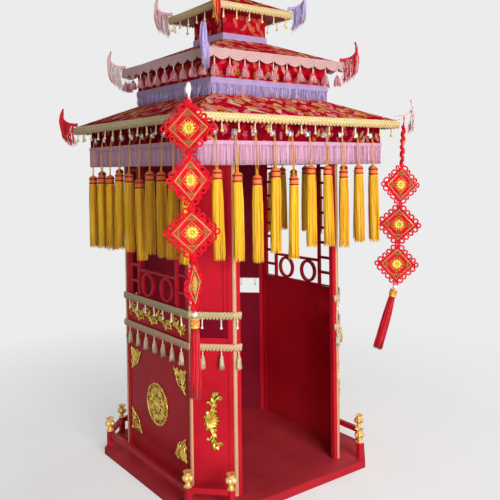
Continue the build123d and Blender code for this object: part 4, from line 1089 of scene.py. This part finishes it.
# %% Hang the ornaments on the walls
def on_walls(shape, spots):
    """shape in millimetres, set on each wall: turn of the wall, its distance, then x, height and spin on it."""
    turns, places = [], []
    for side_turn, distance, x, z, spin in spots:
        outward, along = wall_frame(side_turn)
        c, s = np.cos(np.radians(spin)), np.sin(np.radians(spin))
        up = np.array([0, 0, 1.0])
        turns.append(np.stack([c * along + s * up, -s * along + c * up, outward], 1) * 0.001)
        places.append(outward * distance + along * x + up * z)
    return repeat(shape, turns, places)


panel = cabin - 0.005  # the side panels stand back from the posts
slant_face = (2 * cabin - cut) / np.sqrt(2)  # distance of the cut corners' faces from the axis
relief_walls, slant_walls = (180, 0, 90), (-135, -45, 45, 135)
ornament = side_end - 0.032 - 0.001
corner_spots = ((-ornament, 0.150, 0), (ornament, 0.150, 90), (ornament, 0.612, 180), (-ornament, 0.612, 270))
for name, carving, spots, stands_for in (
        ("gilt_medallions", medallion, [(t, panel, 0.0, 0.366, 0) for t in relief_walls], "medallions"),
        ("gilt_corners", corner_piece, [(t, panel, *spot) for t in relief_walls for spot in corner_spots],
         "corner_scrolls"),
        ("gilt_swirls", swirl, [(t, slant_face - 0.005, 0.0, 0.384, 0) for t in slant_walls],
         "swirl_ornaments"),
        ("gilt_friezes", frieze, [(t, panel, 0.0, 0.802, 0) for t in relief_walls], "friezes")):
    make_piece(name, on_walls(carving, spots), gold_leaf, [stands_for], crisp=55)

# %% [markdown]
# ## Vases and finial
# A small gilt vase stands on each post of the guard rail, and a finial closes the roof. Both are turned work
# with carved flutes, so a profile is spun and its radius waves a little round the axis.

# %% Turned gold
vase_profile = [(0.0196, 0.0), (0.0206, 0.002), (0.0200, 0.0045), (0.0130, 0.006), (0.0098, 0.010),
                (0.0096, 0.014), (0.0118, 0.0165), (0.0102, 0.019), (0.0150, 0.024), (0.0218, 0.031),
                (0.0240, 0.037), (0.0236, 0.043), (0.0196, 0.050), (0.0132, 0.0555), (0.0112, 0.058),
                (0.0122, 0.060), (0.0160, 0.0635), (0.0196, 0.068), (0.0200, 0.0695), (0.0150, 0.068),
                (0.0090, 0.0655), (0.002, 0.0652)]
flute = [0, 0, 0, 0, 0, 0, 0, 0, .05, .09, .1, .1, .09, .05, 0, .04, .12, .16, .16, .1, 0, 0]
rail_inset = 0.028  # the rail stands so far inside the deck's edge, and that shortens its cut corners
rail_half, rail_cut = 0.544, 0.155 - rail_inset * (2 - np.sqrt(2))
post, rail_top = rail_half - rail_cut, 0.125
posts = [(x * a, y * b, rail_top) for x, y in ((rail_half, post), (post, rail_half))
         for a in (-1, 1) for b in (-1, 1)]
vase = turned(vase_profile, 40, 10, flute)
make_piece("gilt_vases", repeat(vase, np.broadcast_to(np.eye(3), (8, 3, 3)), posts), vase_gilding,
           ["post_vases"], crisp=60)
finial_height, finial_foot = 0.128, 2.469
finial_profile = np.array([(.2, 0), (.215, .02), (.2, .06), (.12, .085), (.085, .13), (.10, .17), (.2, .25),
                           (.26, .33), (.262, .42), (.2, .5), (.11, .57), (.09, .61), (.13, .655), (.155, .71),
                           (.13, .77), (.07, .84), (.035, .92), (.012, 1.0)])
gadroons = np.interp(finial_profile[:, 1], [0, .17, .3, .45, .6, 1], [0, 0, .08, .08, 0, 0])
peak = turned(finial_profile * finial_height, 40, 10, gadroons)
peak.points += (0, 0, finial_foot)
make_piece("gilt_finial", peak, finial_gold, ["finial"], crisp=60)

# %% [markdown]
# ## Beads under the braids
# Short strings of beads hang from the gold and olive braids: three small ones and a drop. The pink braid of
# the middle eave carries small tassels on a bead instead. One string is turned work whose profile swells
# at each bead, and it is repeated along the eave.

# %% Bead strings
def string_of(beads, thin=0.0007):
    """Beads from the foot up: middle height, radius, half height; half an oval each, joined by the thread."""
    rows, dyes = [], []
    for z, radius, half, dye in beads:
        a = np.linspace(-np.pi / 2, np.pi / 2, 5)
        rows += list(np.stack([thin + (radius - thin) * np.cos(a), z + half * np.sin(a)], -1))
        dyes += [dye] * 5
    return rows, dyes


ivory, straw, milk = srgb(248, 240, 222), srgb(246, 224, 150), srgb(252, 250, 246)
profile, dyes = string_of([
    (-0.0415, 0.0074, 0.0085, straw), (-0.0290, 0.0043, 0.0040, ivory), (-0.0210, 0.0040, 0.004, ivory),
    (-0.0130, 0.0043, 0.0040, straw), (-0.0050, 0.0018, 0.0045, straw)])
eave_string = turned(profile, 8, dye=dyes)
profile, dyes = string_of([
    (-0.0455, 0.0070, 0.0066, milk), (-0.0345, 0.0042, 0.0040, milk), (-0.0265, 0.0042, 0.0040, ivory),
    (-0.0185, 0.0042, 0.0040, milk), (-0.0105, 0.0040, 0.0040, ivory), (-0.0035, 0.0018, 0.005, milk)])
cabin_string = turned(profile, 8, dye=dyes)


def hung(shape, spots, sway=0.0):
    """The shape hung at each spot, each copy turned and leaning at random by a little."""
    spots = np.asarray(spots, float)
    turn = rng.uniform(0, 2 * np.pi, len(spots))
    c, s, o, l = np.cos(turn), np.sin(turn), np.zeros(len(spots)), np.ones(len(spots))
    lean = rng.normal(0, sway, (len(spots), 2))
    rows = ((c, -s, lean[:, 0]), (s, c, lean[:, 1]), (o, o, l))
    return repeat(shape, np.stack([np.stack(row, -1) for row in rows], 1), spots)


def along_square(half, count, pitch, z):
    """Points on four sides, count of them each pitch apart about the middle."""
    return np.concatenate([row_on_wall(side_turn, half, count, pitch, z) for side_turn in (-90, 0, 90, 180)])


def round_cabin(gap, z, beside_door):
    """Points round the cabin: seven on each closed wall, two on each cut corner, one on each door post."""
    rows = [(t, cabin, 7) for t in relief_walls] + [(t, slant_face, 2) for t in slant_walls]
    spots = [row_on_wall(t, distance + gap, count, 0.088, z) for t, distance, count in rows]
    return np.concatenate(spots + [[(x, -cabin - gap, z) for x in (-beside_door, beside_door)]])


for tier, count, pitch in (("lower", 14, 0.089), ("top", 6, 0.080)):
    spots = along_square(eaves[tier] + 0.0035, count, pitch, soffits[tier] - 0.002)
    make_piece(tier + "_eave_beads", hung(eave_string, spots, 0.04), bead_gloss, [tier + "_eave_drops"])
make_piece("cabin_beads", hung(cabin_string, round_cabin(0.0105, braid_heights["upper"], 0.316), 0.05),
           bead_gloss, [])

# %% Small tassels
cream, tan, rose, blush = srgb(250, 236, 206), srgb(236, 208, 168), srgb(242, 150, 162), srgb(250, 220, 214)
rose_silk = [srgb(252, 176, 186), srgb(255, 200, 204), srgb(246, 150, 166)]
spots = along_square(eaves["mid"] + 0.0035, 10, pink_pitch, soffits["mid"])
profile, dyes = string_of([
    (-0.0410, 0.0072, 0.0062, rose), (-0.0315, 0.0034, 0.0036, blush), (-0.0235, 0.0034, 0.0036, blush),
    (-0.0155, 0.0034, 0.0036, blush), (-0.0060, 0.0016, 0.006, blush)], 0.0011)
tassels = [hung(turned(profile, 8, dye=dyes), spots),
           skirt(spots, -0.041, 0.047, 0.0058, 0.0190, 46, 0.0019, rose_silk, 0.02, 0.1, 4)]
make_piece("rose_tassels", join(tassels), silk_thread, ["mid_eave_drops"])
cream_silk = [cream, tan, srgb(244, 222, 186)]
spots = round_cabin(0.0115, braid_heights["lower"], 0.313)
profile, dyes = string_of([
    (-0.0300, 0.0062, 0.0055, tan), (-0.0205, 0.0030, 0.004, cream), (-0.0120, 0.0030, 0.004, cream),
    (-0.0030, 0.0012, 0.006, cream)], 0.0010)
tassels = [hung(turned(profile, 8, dye=dyes), spots),
           skirt(spots, -0.030, 0.060, 0.0048, 0.0115, 40, 0.0017, cream_silk, 0.03, 0.12, 4)]
make_piece("cream_tassels", join(tassels), silk_thread, ["braid_tassels"])

# %% [markdown]
# ## Horns and their fringes
# On each corner of an eave a horn sweeps out and curls up. It is a wound stem that carries a curtain of
# coloured yarns: red, white and pink below, pink, purple and red in the middle, and pink, purple and a mix of
# orange, yellow and red on top. The stem is a tube on a smooth line, and the yarns start along that line.

# %% Where the horns stand
horn_turns = {"right": -45, "back": 45, "left": 135, "front": -135}
bends = {("lower", "front"): -4}
horn_reach, horn_rise = 0.070, 0.092
stations = np.array([(-0.3, 0.0), (0.0, 0.0), (0.6, 0.14), (1.0, 0.52), (0.86, 1.0)]) * (horn_reach, horn_rise)
horn_line = smooth_line(stations, 26)
horn_way = np.linspace(0, 1, 26)
upward = np.array([0, 0, 1.0])


def horn_axes(tier, corner):
    """Root of the horn, its direction in plan and the direction across it."""
    t = np.radians(horn_turns[corner])
    b = t + np.radians(bends.get((tier, corner), 0))
    reach = (eaves[tier] + 0.007) * np.sqrt(2)
    root = np.array([reach * np.cos(t), reach * np.sin(t), soffits[tier] + 0.037 + 0.012 * np.sqrt(3) / 2])
    return root, np.array([np.cos(b), np.sin(b), 0]), np.array([-np.sin(b), np.cos(b), 0])


red_dye, white_dye, pink_dye = srgb(226, 26, 44), srgb(252, 242, 244), srgb(250, 186, 194)
purple_dye, lilac = srgb(190, 172, 232), srgb(222, 208, 246)
horn_dyes = {
    ("lower", "left"): [red_dye, srgb(232, 50, 70)], ("lower", "front"): [red_dye, srgb(236, 60, 80)],
    ("lower", "right"): [pink_dye, white_dye, blush], ("lower", "back"): [pink_dye, rose],
    ("mid", "left"): [pink_dye, blush, white_dye], ("mid", "front"): [purple_dye, lilac],
    ("mid", "right"): [red_dye, srgb(228, 48, 60), pink_dye], ("mid", "back"): [purple_dye, lilac],
    ("top", "left"): [pink_dye, rose, blush, white_dye],
    ("top", "front"): [srgb(244, 130, 40), srgb(250, 200, 60), red_dye],
    ("top", "right"): [purple_dye, lilac, lilac], ("top", "back"): [pink_dye, blush],
}
spans = {("lower", "right"): (0.62, 0.98), ("lower", "front"): (0.1, 0.5)}  # where the yarns start on the stem
print("horns", len(horn_dyes))

# %% Stem and curtain of one horn
def horn_stem(key, path, across):
    """A tube that thins towards its tip. The lower front one ends in a white bud, the lower right is ringed."""
    s = horn_way
    way = s[:, None]
    dye = np.asarray(horn_dyes[key][0]) * np.clip(1.15 - 0.9 * way ** 4, 0.3, 1)
    thick = 0.0105 * (1 - 0.62 * s) + 0.0004 * np.sin(60 * s)
    if key == ("lower", "front"):
        thick = thick + 0.0085 * np.exp(-((s - 0.86) / 0.13) ** 2)
        dye = np.where(way > 0.68, white_dye, np.where(way > 0.52, pink_dye, red_dye))
    if key == ("lower", "right"):
        dye = np.where((way * 26 % 2) > 1, white_dye, pink_dye)
    return tubes(path, thick, thick, 10, across, dye[None])


def horn_curtain(key, path, root, out, across):
    """Yarns from random places on the stem: each rises over it to one side, then falls to a foot that is higher
    towards the tip."""
    near, far = spans.get(key, (0.22, 0.99))
    count = int(230 * (far - near))
    q = near + (far - near) * rng.random(count) ** 0.8
    start = np.stack([np.interp(q, horn_way, path[:, i]) for i in range(3)], -1)
    share = np.clip(np.interp(q, horn_way, horn_line[:, 0]) / horn_reach, 0, 1)
    foot = -0.112 + 0.052 * share ** 2 + rng.normal(0, 0.009, count)
    fall = np.clip(start[:, 2] - root[2] - foot, 0.045, None)[:, None]
    w = np.linspace(0, 1, 6)[None, :]
    hand = rng.uniform(-1, 1, (count, 1))
    drift = 0.010 * np.sin(2.6 * w + 2 * hand) * w + rng.normal(0, 0.003, (count, 1)) * w
    aside = hand * 0.0170 * (0.5 + 0.5 * np.sin(np.pi * w))
    outwards = drift + 0.010 * np.sin(np.pi * w) - 0.012 * w
    height = 0.010 * np.sin(np.pi * np.clip(w * 3, 0, 1)) - fall * w ** 1.25
    paths = start[:, None] + across * aside[..., None] + out * outwards[..., None] + upward * height[..., None]
    choice = np.asarray(horn_dyes[key])
    pick = rng.integers(0, len(choice), count)
    if key == ("top", "front"):
        pick = np.clip((hand[:, 0] * 1.5 + 1.5 + rng.normal(0, 0.4, count)).astype(int), 0, 2)
    dyed = choice[pick] * rng.uniform(0.85, 1.05, (count, 1))
    return tubes(paths, 0.0019 * (1 - 0.4 * w), 0.0013, 3, across, dyed)

# %% Twelve horns
for tier in soffits:
    stem_shapes, yarn_shapes = [], []
    for corner in horn_turns:
        root, out, across = horn_axes(tier, corner)
        path = root + horn_line[:, :1] * out + horn_line[:, 1:] * upward
        stem_shapes.append(horn_stem((tier, corner), path, across))
        yarn_shapes.append(horn_curtain((tier, corner), path, root, out, across))
    make_piece(tier + "_stems", join(stem_shapes), satin_cord, [tier + "_horns"])
    make_piece(tier + "_horn_yarns", join(yarn_shapes), silk_thread, [tier + "_horn_fringes"])

# %% [markdown]
# ## Charms
# Two strings of four diamonds hang from the front horns. Each diamond is a stiff satin panel in a frame of
# looped red cord, with a thin gold line, a fret in each corner and a gilt rosette. The frets and rosette are
# plain traditional forms. Below hang a pearl, a gold bead and a red tassel.

# %% One diamond, in metres, facing +X
cord_red, fret_gold, line_gold = srgb(224, 6, 36), srgb(160, 144, 72), srgb(246, 206, 128)
rosette_gold = srgb(236, 192, 66)
tips = np.array([(1, 0), (0, 1), (-1, 0), (0, -1), (1, 0)], float)


def diamond(reach, x, count):
    """Closed square line standing on its corner: |y| + |z| = reach."""
    t = np.linspace(0, 4, count, endpoint=False)
    side, f = t.astype(int), (t % 1)[:, None]
    yz = tips[side] * (1 - f) + tips[side + 1] * f
    return np.concatenate([np.full((count, 1), x), yz * reach], -1)


def diamonds(rows, count, sides, dye):
    """Closed tubes on such lines: reach, x and thickness of each."""
    return [tubes(diamond(reach, x, count), thick, sides=sides, dye=dye, closed=True)
            for reach, x, thick in rows]


def cord_loops():
    """Loops along the four edges: a base point moves along the edge while a small circle is drawn outwards."""
    t = np.linspace(0, 1, 15)[:, None]
    c, s = np.cos(2 * np.pi * t), np.sin(2 * np.pi * t)
    shapes = []
    for a, b in zip(tips[:-1], tips[1:]):
        run, outward = (b - a) / np.sqrt(2), (a + b) / np.sqrt(2)
        for i, size in enumerate((0.0138, 0.0130, 0.0130, 0.0138)):
            base = (a + (b - a) * (0.14 + 0.24 * i)) * 0.088
            yz = base + outward * size * (1 - c) * 0.92 + run * size * 0.9 * s * np.sin(np.pi * t) ** 0.3
            shapes.append(np.concatenate([0.0075 * (-1) ** i * s, yz], -1))
        yz = a * 0.093 + a * 0.0092 * (1 - c) + np.array([-a[1], a[0]]) * 0.0105 * s
        shapes.append(np.concatenate([0.002 * c, yz], -1))
    return np.stack(shapes)


def satin_panel(reach, thick):
    """A pillow on a square grid turned by 45 degrees: thick times the product of two half waves."""
    a = np.linspace(-1, 1, 15)
    p, q = np.meshgrid(a, a, indexing="ij")
    y, z = (p - q) / 2 * reach, (p + q) / 2 * reach
    bulge = thick * (0.45 + 0.55 * (np.cos(np.pi * p / 2) * np.cos(np.pi * q / 2)) ** 0.5)
    front, back = np.stack([bulge, y, z], -1), np.stack([-bulge, y, z], -1)
    quads, n = grid_faces(15, 15), 225
    edge = np.concatenate([np.arange(15), np.arange(29, n, 15), np.arange(n - 2, 209, -1),
                           np.arange(195, 0, -15)])
    following = np.roll(edge, -1)
    border = np.stack([edge, following, following + n, edge + n], -1)
    return Shape(np.stack([front, back]), [quads, quads[:, ::-1] + n, border], np.stack([np.stack([y, z], -1)] * 2))


def upended(shape, dye):
    """A shape made flat in millimetres, stood up to face +X in metres, in one dye."""
    return Shape(shape.points[:, [2, 0, 1]] * 0.001, shape.faces, shape.weave, dye)


def knot_face():
    """Gold lines, corner frets and rosette on the +X face."""
    lines = diamonds([(0.078, 0.0044, 0.0011)], 12, 5, line_gold) \
        + diamonds([(0.073, 0.0042, 0.0006), (0.044, 0.0046, 0.0009)], 12, 4, line_gold)
    frets = []
    for reach in (0.068, 0.0625, 0.057):
        t = np.array([-1, -0.15, 0, 0.15, 1])
        yz = np.stack([t * (reach - 0.047), reach - np.abs(t) * (reach - 0.047)], -1)
        frets.append(tubes(np.concatenate([np.full((5, 1), 0.0044), yz], -1), 0.0008, sides=4, dye=fret_gold))
    hooks = stems([((0, 47), 80, 26, -60, -420), ((0, 47), 100, 26, 60, 420)], 1.3, 1.2, 4.4, count=12)
    corner = join(frets + [upended(hooks, fret_gold)])
    around = [rotated((1.0, 0.0, 0.0), 90 * k) for k in range(4)]
    petals = upended(join([spun(leaves([((5, 0), 0, 23, 0, 0)], 6.5, 2.6, 0.5), 8),
                           spun(leaves([((9, 0), 0, 24, 0, 0)], 3.5, 2.2, 0), 8, 22.5),
                           boss(0, 0, 6.5, 5), spun(boss(31, 0, 2.2, 2.6, 0), 12)]), rosette_gold)
    petals.points += (0.0040, 0, 0)
    return join(lines + [repeat(corner, around, np.zeros((4, 3))), petals])


def rotated(axis, degrees):
    """Rodrigues: I + sin(angle) K + (1 - cos(angle)) K squared, K being the cross product with the axis."""
    x, y, z = axis / np.linalg.norm(axis)
    k = np.array([[0, -z, y], [z, 0, -x], [-y, x, 0]])
    a = np.radians(degrees)
    return np.eye(3) + np.sin(a) * k + (1 - np.cos(a)) * (k @ k)


edge_cords = join(diamonds([(0.0925, 0.0, 0.0030), (0.0865, 0.0018, 0.0028), (0.0865, -0.0018, 0.0028)], 48, 6,
                           cord_red)
                  + [tubes(cord_loops(), 0.0043, sides=6, facing=(1, 0.05, 0.02), dye=cord_red)])
face = knot_face()
gilding = join([face, repeat(face, np.diag([-1.0, -1.0, 1.0]), (0, 0, 0))])
print("one diamond", len(edge_cords.points) + len(gilding.points), "points")

# %% Plain satin and gilt thread
panel_satin, tree, shader = start_finish("panel_satin", Roughness=0.6, Specular_IOR_Level=0.08)
flat = coordinates(tree, "UV")
paint(tree, colours(tree, noise(tree, flat, 60.0, 3.0, 0.6, (1.0, 0.3, 1.0)),
                    [(0.3, srgb(186, 8, 28)), (0.7, srgb(214, 14, 38))]), shader)
raise_surface(tree, shader, noise(tree, flat, 420.0, 2.0, 0.5, (1.0, 0.2, 1.0)), 0.2, 0.0008)
gilt_thread, tree, shader = start_finish("gilt_thread", Metallic=0.35, Roughness=0.36, Sheen_Weight=0.2)
glint = colours(tree, noise(tree, coordinates(tree), 340.0, 2.0),
                [(0.3, (0.66, 0.66, 0.66)), (0.7, (1.0, 1.0, 1.0))])
paint(tree, blended(tree, 1.0, dye_of(tree), glint, "MULTIPLY"), shader)
print("charm finishes", panel_satin.name, gilt_thread.name)

# %% [markdown]
# ### The charms in place
# Each string hangs from a cord loop at its horn's tip: out and up from the horn's root. It leans a little, and
# every diamond has turned on the string as far as the photograph shows.

# %% Charms in place
# out from the horn's root, up over it, turns of the four diamonds, leans of the string and of its tassel
charms = {"front": (0.079555, 0.0478, (-133, -85, -117, -49), -1.2, 0.0),
          "right": (0.025, -0.00337, (-52, -108, -140, -128), 3.4, 16.0)}
lean_axis, down = np.array([0.6, 0.8, 0.0]), -upward
first, half_knot = 0.036, 0.102  # down the cord: the first diamond's upper tip, and from a tip to the middle
pitch, cord_end = 0.208, 0.868  # from one diamond to the next, and down to the pearl
string_gaps = [(0.0, first + 0.004)]
string_gaps += [(first + pitch * i + 0.200, first + pitch * (i + 1) + 0.008) for i in range(3)]
string_gaps += [(first + pitch * 3 + 0.196, cord_end)]
profile, dyes = string_of([(-0.013, 0.0128, 0.0128, milk)], 0.0012)
bead_rows = [(0.004, -0.0665), (0.0176, -0.066), (0.0198, -0.063), (0.0190, -0.061), (0.0176, -0.058),
             (0.0186, -0.046), (0.0176, -0.034), (0.0190, -0.031), (0.0198, -0.029), (0.0176, -0.0265),
             (0.004, -0.026)]
bead_dye = [srgb(238, 150, 50) if 3 < i < 7 else srgb(246, 206, 96) for i in range(11)]
beads = join([turned(profile, 20, dye=dyes),
              turned(bead_rows, 28, 14, [0, 0, .03, 0, .05, .09, .05, 0, .03, 0, 0], bead_dye)])


def hook_loop(name, hook, out, across):
    """The cord's loop at the horn: a circle round the tip in front, round the stem on the right."""
    a = np.linspace(0, 2 * np.pi, 22, endpoint=False)[:, None]
    radius = 0.0095 if name == "front" else 0.0125
    aside = out * radius * (np.cos(a) - 1) if name == "front" else across * radius * np.cos(a)
    return tubes(hook + aside + upward * (radius * np.sin(a) + 0.002), 0.0022, sides=6,
                 facing=across if name == "front" else out, dye=cord_red, closed=True)


for name, (reach, lift, knot_turns, lean, tassel_lean) in charms.items():
    root, out, across = horn_axes("lower", name)
    hook = root + out * reach + upward * lift
    tilt = rotated(lean_axis, lean)
    turns = [tilt @ rotated(upward, t) for t in knot_turns]
    places = [hook + tilt @ (down * (first + half_knot + pitch * i)) for i in range(4)]
    panels = repeat(satin_panel(0.085, 0.0030), turns, places)
    make_piece("charm_panels_" + name, panels, panel_satin, [])
    make_piece("charm_gilding_" + name, repeat(gilding, turns, places), gilt_thread, [],
               crisp=60)
    s = np.linspace(0, 1, 14)[:, None]
    knots = [repeat(edge_cords, turns, places)]
    for above_it, below_it in string_gaps:
        for hand in (-1, 1):
            twist = np.array([0.002 * hand, 0.0012 * hand, 0]) * np.cos(3 * np.pi * s)
            line = down * (above_it + (below_it - above_it) * s) + twist
            knots.append(tubes(hook + line @ tilt.T, 0.0022, sides=6, facing=(0.8, 0.6, 0.05), dye=cord_red))
    knots.append(hook_loop(name, hook, out, across))
    make_piece("charm_knots_" + name + "_cords", join(knots), satin_cord, ["charm_knots_" + name])
    foot = hook + tilt @ (down * cord_end)
    swing = rotated(lean_axis, tassel_lean)
    make_piece("charm_beads_" + name, repeat(beads, swing, foot), gilt_thread, [], crisp=50)
    silk = skirt(np.zeros((1, 3)), -0.064, 0.287, 0.0135, 0.0232, 130, 0.0023,
                 [cord_red, srgb(206, 16, 34), srgb(236, 36, 54)], 0.0, 0.05, 7)
    make_piece("charm_silk_" + name, repeat(silk, swing, foot), silk_thread, ["charm_tassel_" + name])

# %% [markdown]
# ## Floor and light
# A plain pale floor and soft light from the front, a little from the left, as daylight falls into the hall in
# the photograph. Weak lamps fill the right and the left and touch the back. Farther out the floor goes over to
# the backdrop's white. Rays from the camera see that white where the world is, and the light that the world
# itself gives grows weaker overhead and underneath.

# %% Floor
backdrop_colour, backdrop_strength = (0.9, 0.9, 0.9, 1.0), 0.93
floor_finish, tree, shader = start_finish("pale_floor", Roughness=0.8, Specular_IOR_Level=0.1)
at = coordinates(tree)
grey = colours(tree, noise(tree, at, 1.5, 3.0), [(0.3, srgb(204, 204, 204)), (0.7, srgb(212, 212, 211))])
paint(tree, grey, shader)
seen = seen_ray(tree)
near = add_node(tree, "Emission", {0: (0.92, 0.92, 0.93, 1.0), 1: maths(tree, "MULTIPLY", seen, 0.46)})
both = add_node(tree, "AddShader", {0: shader.outputs[0], 1: near.outputs[0]})
far = add_node(tree, "Emission", {0: backdrop_colour, 1: backdrop_strength})
from_middle = add_node(tree, "VectorMath", {0: at}, operation="LENGTH").outputs[1]
fade = maths(tree, "MULTIPLY", maths(tree, "SUBTRACT", from_middle, 1.0), 0.45, clamp=True)
share = maths(tree, "MULTIPLY", fade, seen)
mixed = add_node(tree, "MixShader", {0: share, 1: both.outputs[0], 2: far.outputs[0]})
tree.links.new(mixed.outputs[0], tree.nodes["Material Output"].inputs[0])
radius = np.linspace(0.0, 40.0, 9)[1:, None]
angle = np.linspace(0, 2 * np.pi, 64, endpoint=False)[None, :]
rings = np.stack([radius * np.cos(angle), radius * np.sin(angle), np.full((8, 64), -0.0005)], -1)
floor_faces = grid_faces(8, 64, loop_columns=True).tolist() + [list(range(64))]
floor_mesh = bpy.data.meshes.new("floor")
floor_mesh.from_pydata(rings.reshape(-1, 3).tolist(), [], floor_faces)
floor_mesh.materials.append(floor_finish)
floor = bpy.data.objects.new("floor", floor_mesh)
bpy.context.scene.collection.objects.link(floor)
floor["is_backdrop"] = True
print("floor of", len(floor_faces), "faces")

# %% World
world = bpy.data.worlds.new("studio")
bpy.context.scene.world = world
world.use_nodes = True
tree = world.node_tree
background = tree.nodes["Background"]
background.inputs[0].default_value = (0.93, 0.94, 0.96, 1.0)
overhead = parts_of(tree, coordinates(tree, "Generated"))[2]
strength = maths(tree, "MULTIPLY_ADD", maths(tree, "ABSOLUTE", overhead), -0.45, 0.35, clamp=True)
tree.links.new(strength, background.inputs[1])
backdrop = add_node(tree, "Background", {0: backdrop_colour, 1: backdrop_strength})
mixed = add_node(tree, "MixShader", {0: seen_ray(tree), 1: background.outputs[0], 2: backdrop.outputs[0]})
tree.links.new(mixed.outputs[0], tree.nodes["World Output"].inputs[0])
print("world nodes", len(tree.nodes))

# %% Lamps
def lamp(name, place, aim, size, power, colour=(1.0, 1.0, 1.0)):
    """A square soft lamp at place that looks at aim."""
    light = bpy.data.lights.new(name, "AREA")
    light.size, light.energy, light.color = size, power, colour
    holder = bpy.data.objects.new(name, light)
    back = unit(np.array(place, float) - np.array(aim, float))
    side = unit(np.cross((0, 0, 1), back))
    pose = np.eye(4)
    pose[:3, 0], pose[:3, 1], pose[:3, 2], pose[:3, 3] = side, np.cross(back, side), back, place
    holder.matrix_world = Matrix(pose.tolist())
    bpy.context.scene.collection.objects.link(holder)


lamp("front_key", (-1.1, -5.6, 2.0), (0.0, -0.3, 1.25), 2.6, 315.0, (1.0, 0.99, 0.97))
lamp("right_fill", (5.0, 0.6, 3.2), (0.0, 0.0, 1.2), 3.0, 80.0)
lamp("left_fill", (-3.6, -4.2, 1.3), (0.2, -0.2, 1.0), 2.0, 32.0)
lamp("back_rim", (-1.5, 4.5, 3.2), (0.0, 0.0, 1.4), 2.5, 22.0)

# %% Finish
low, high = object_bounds()
print("visual box", [round(v, 3) for v in low], [round(v, 3) for v in high])
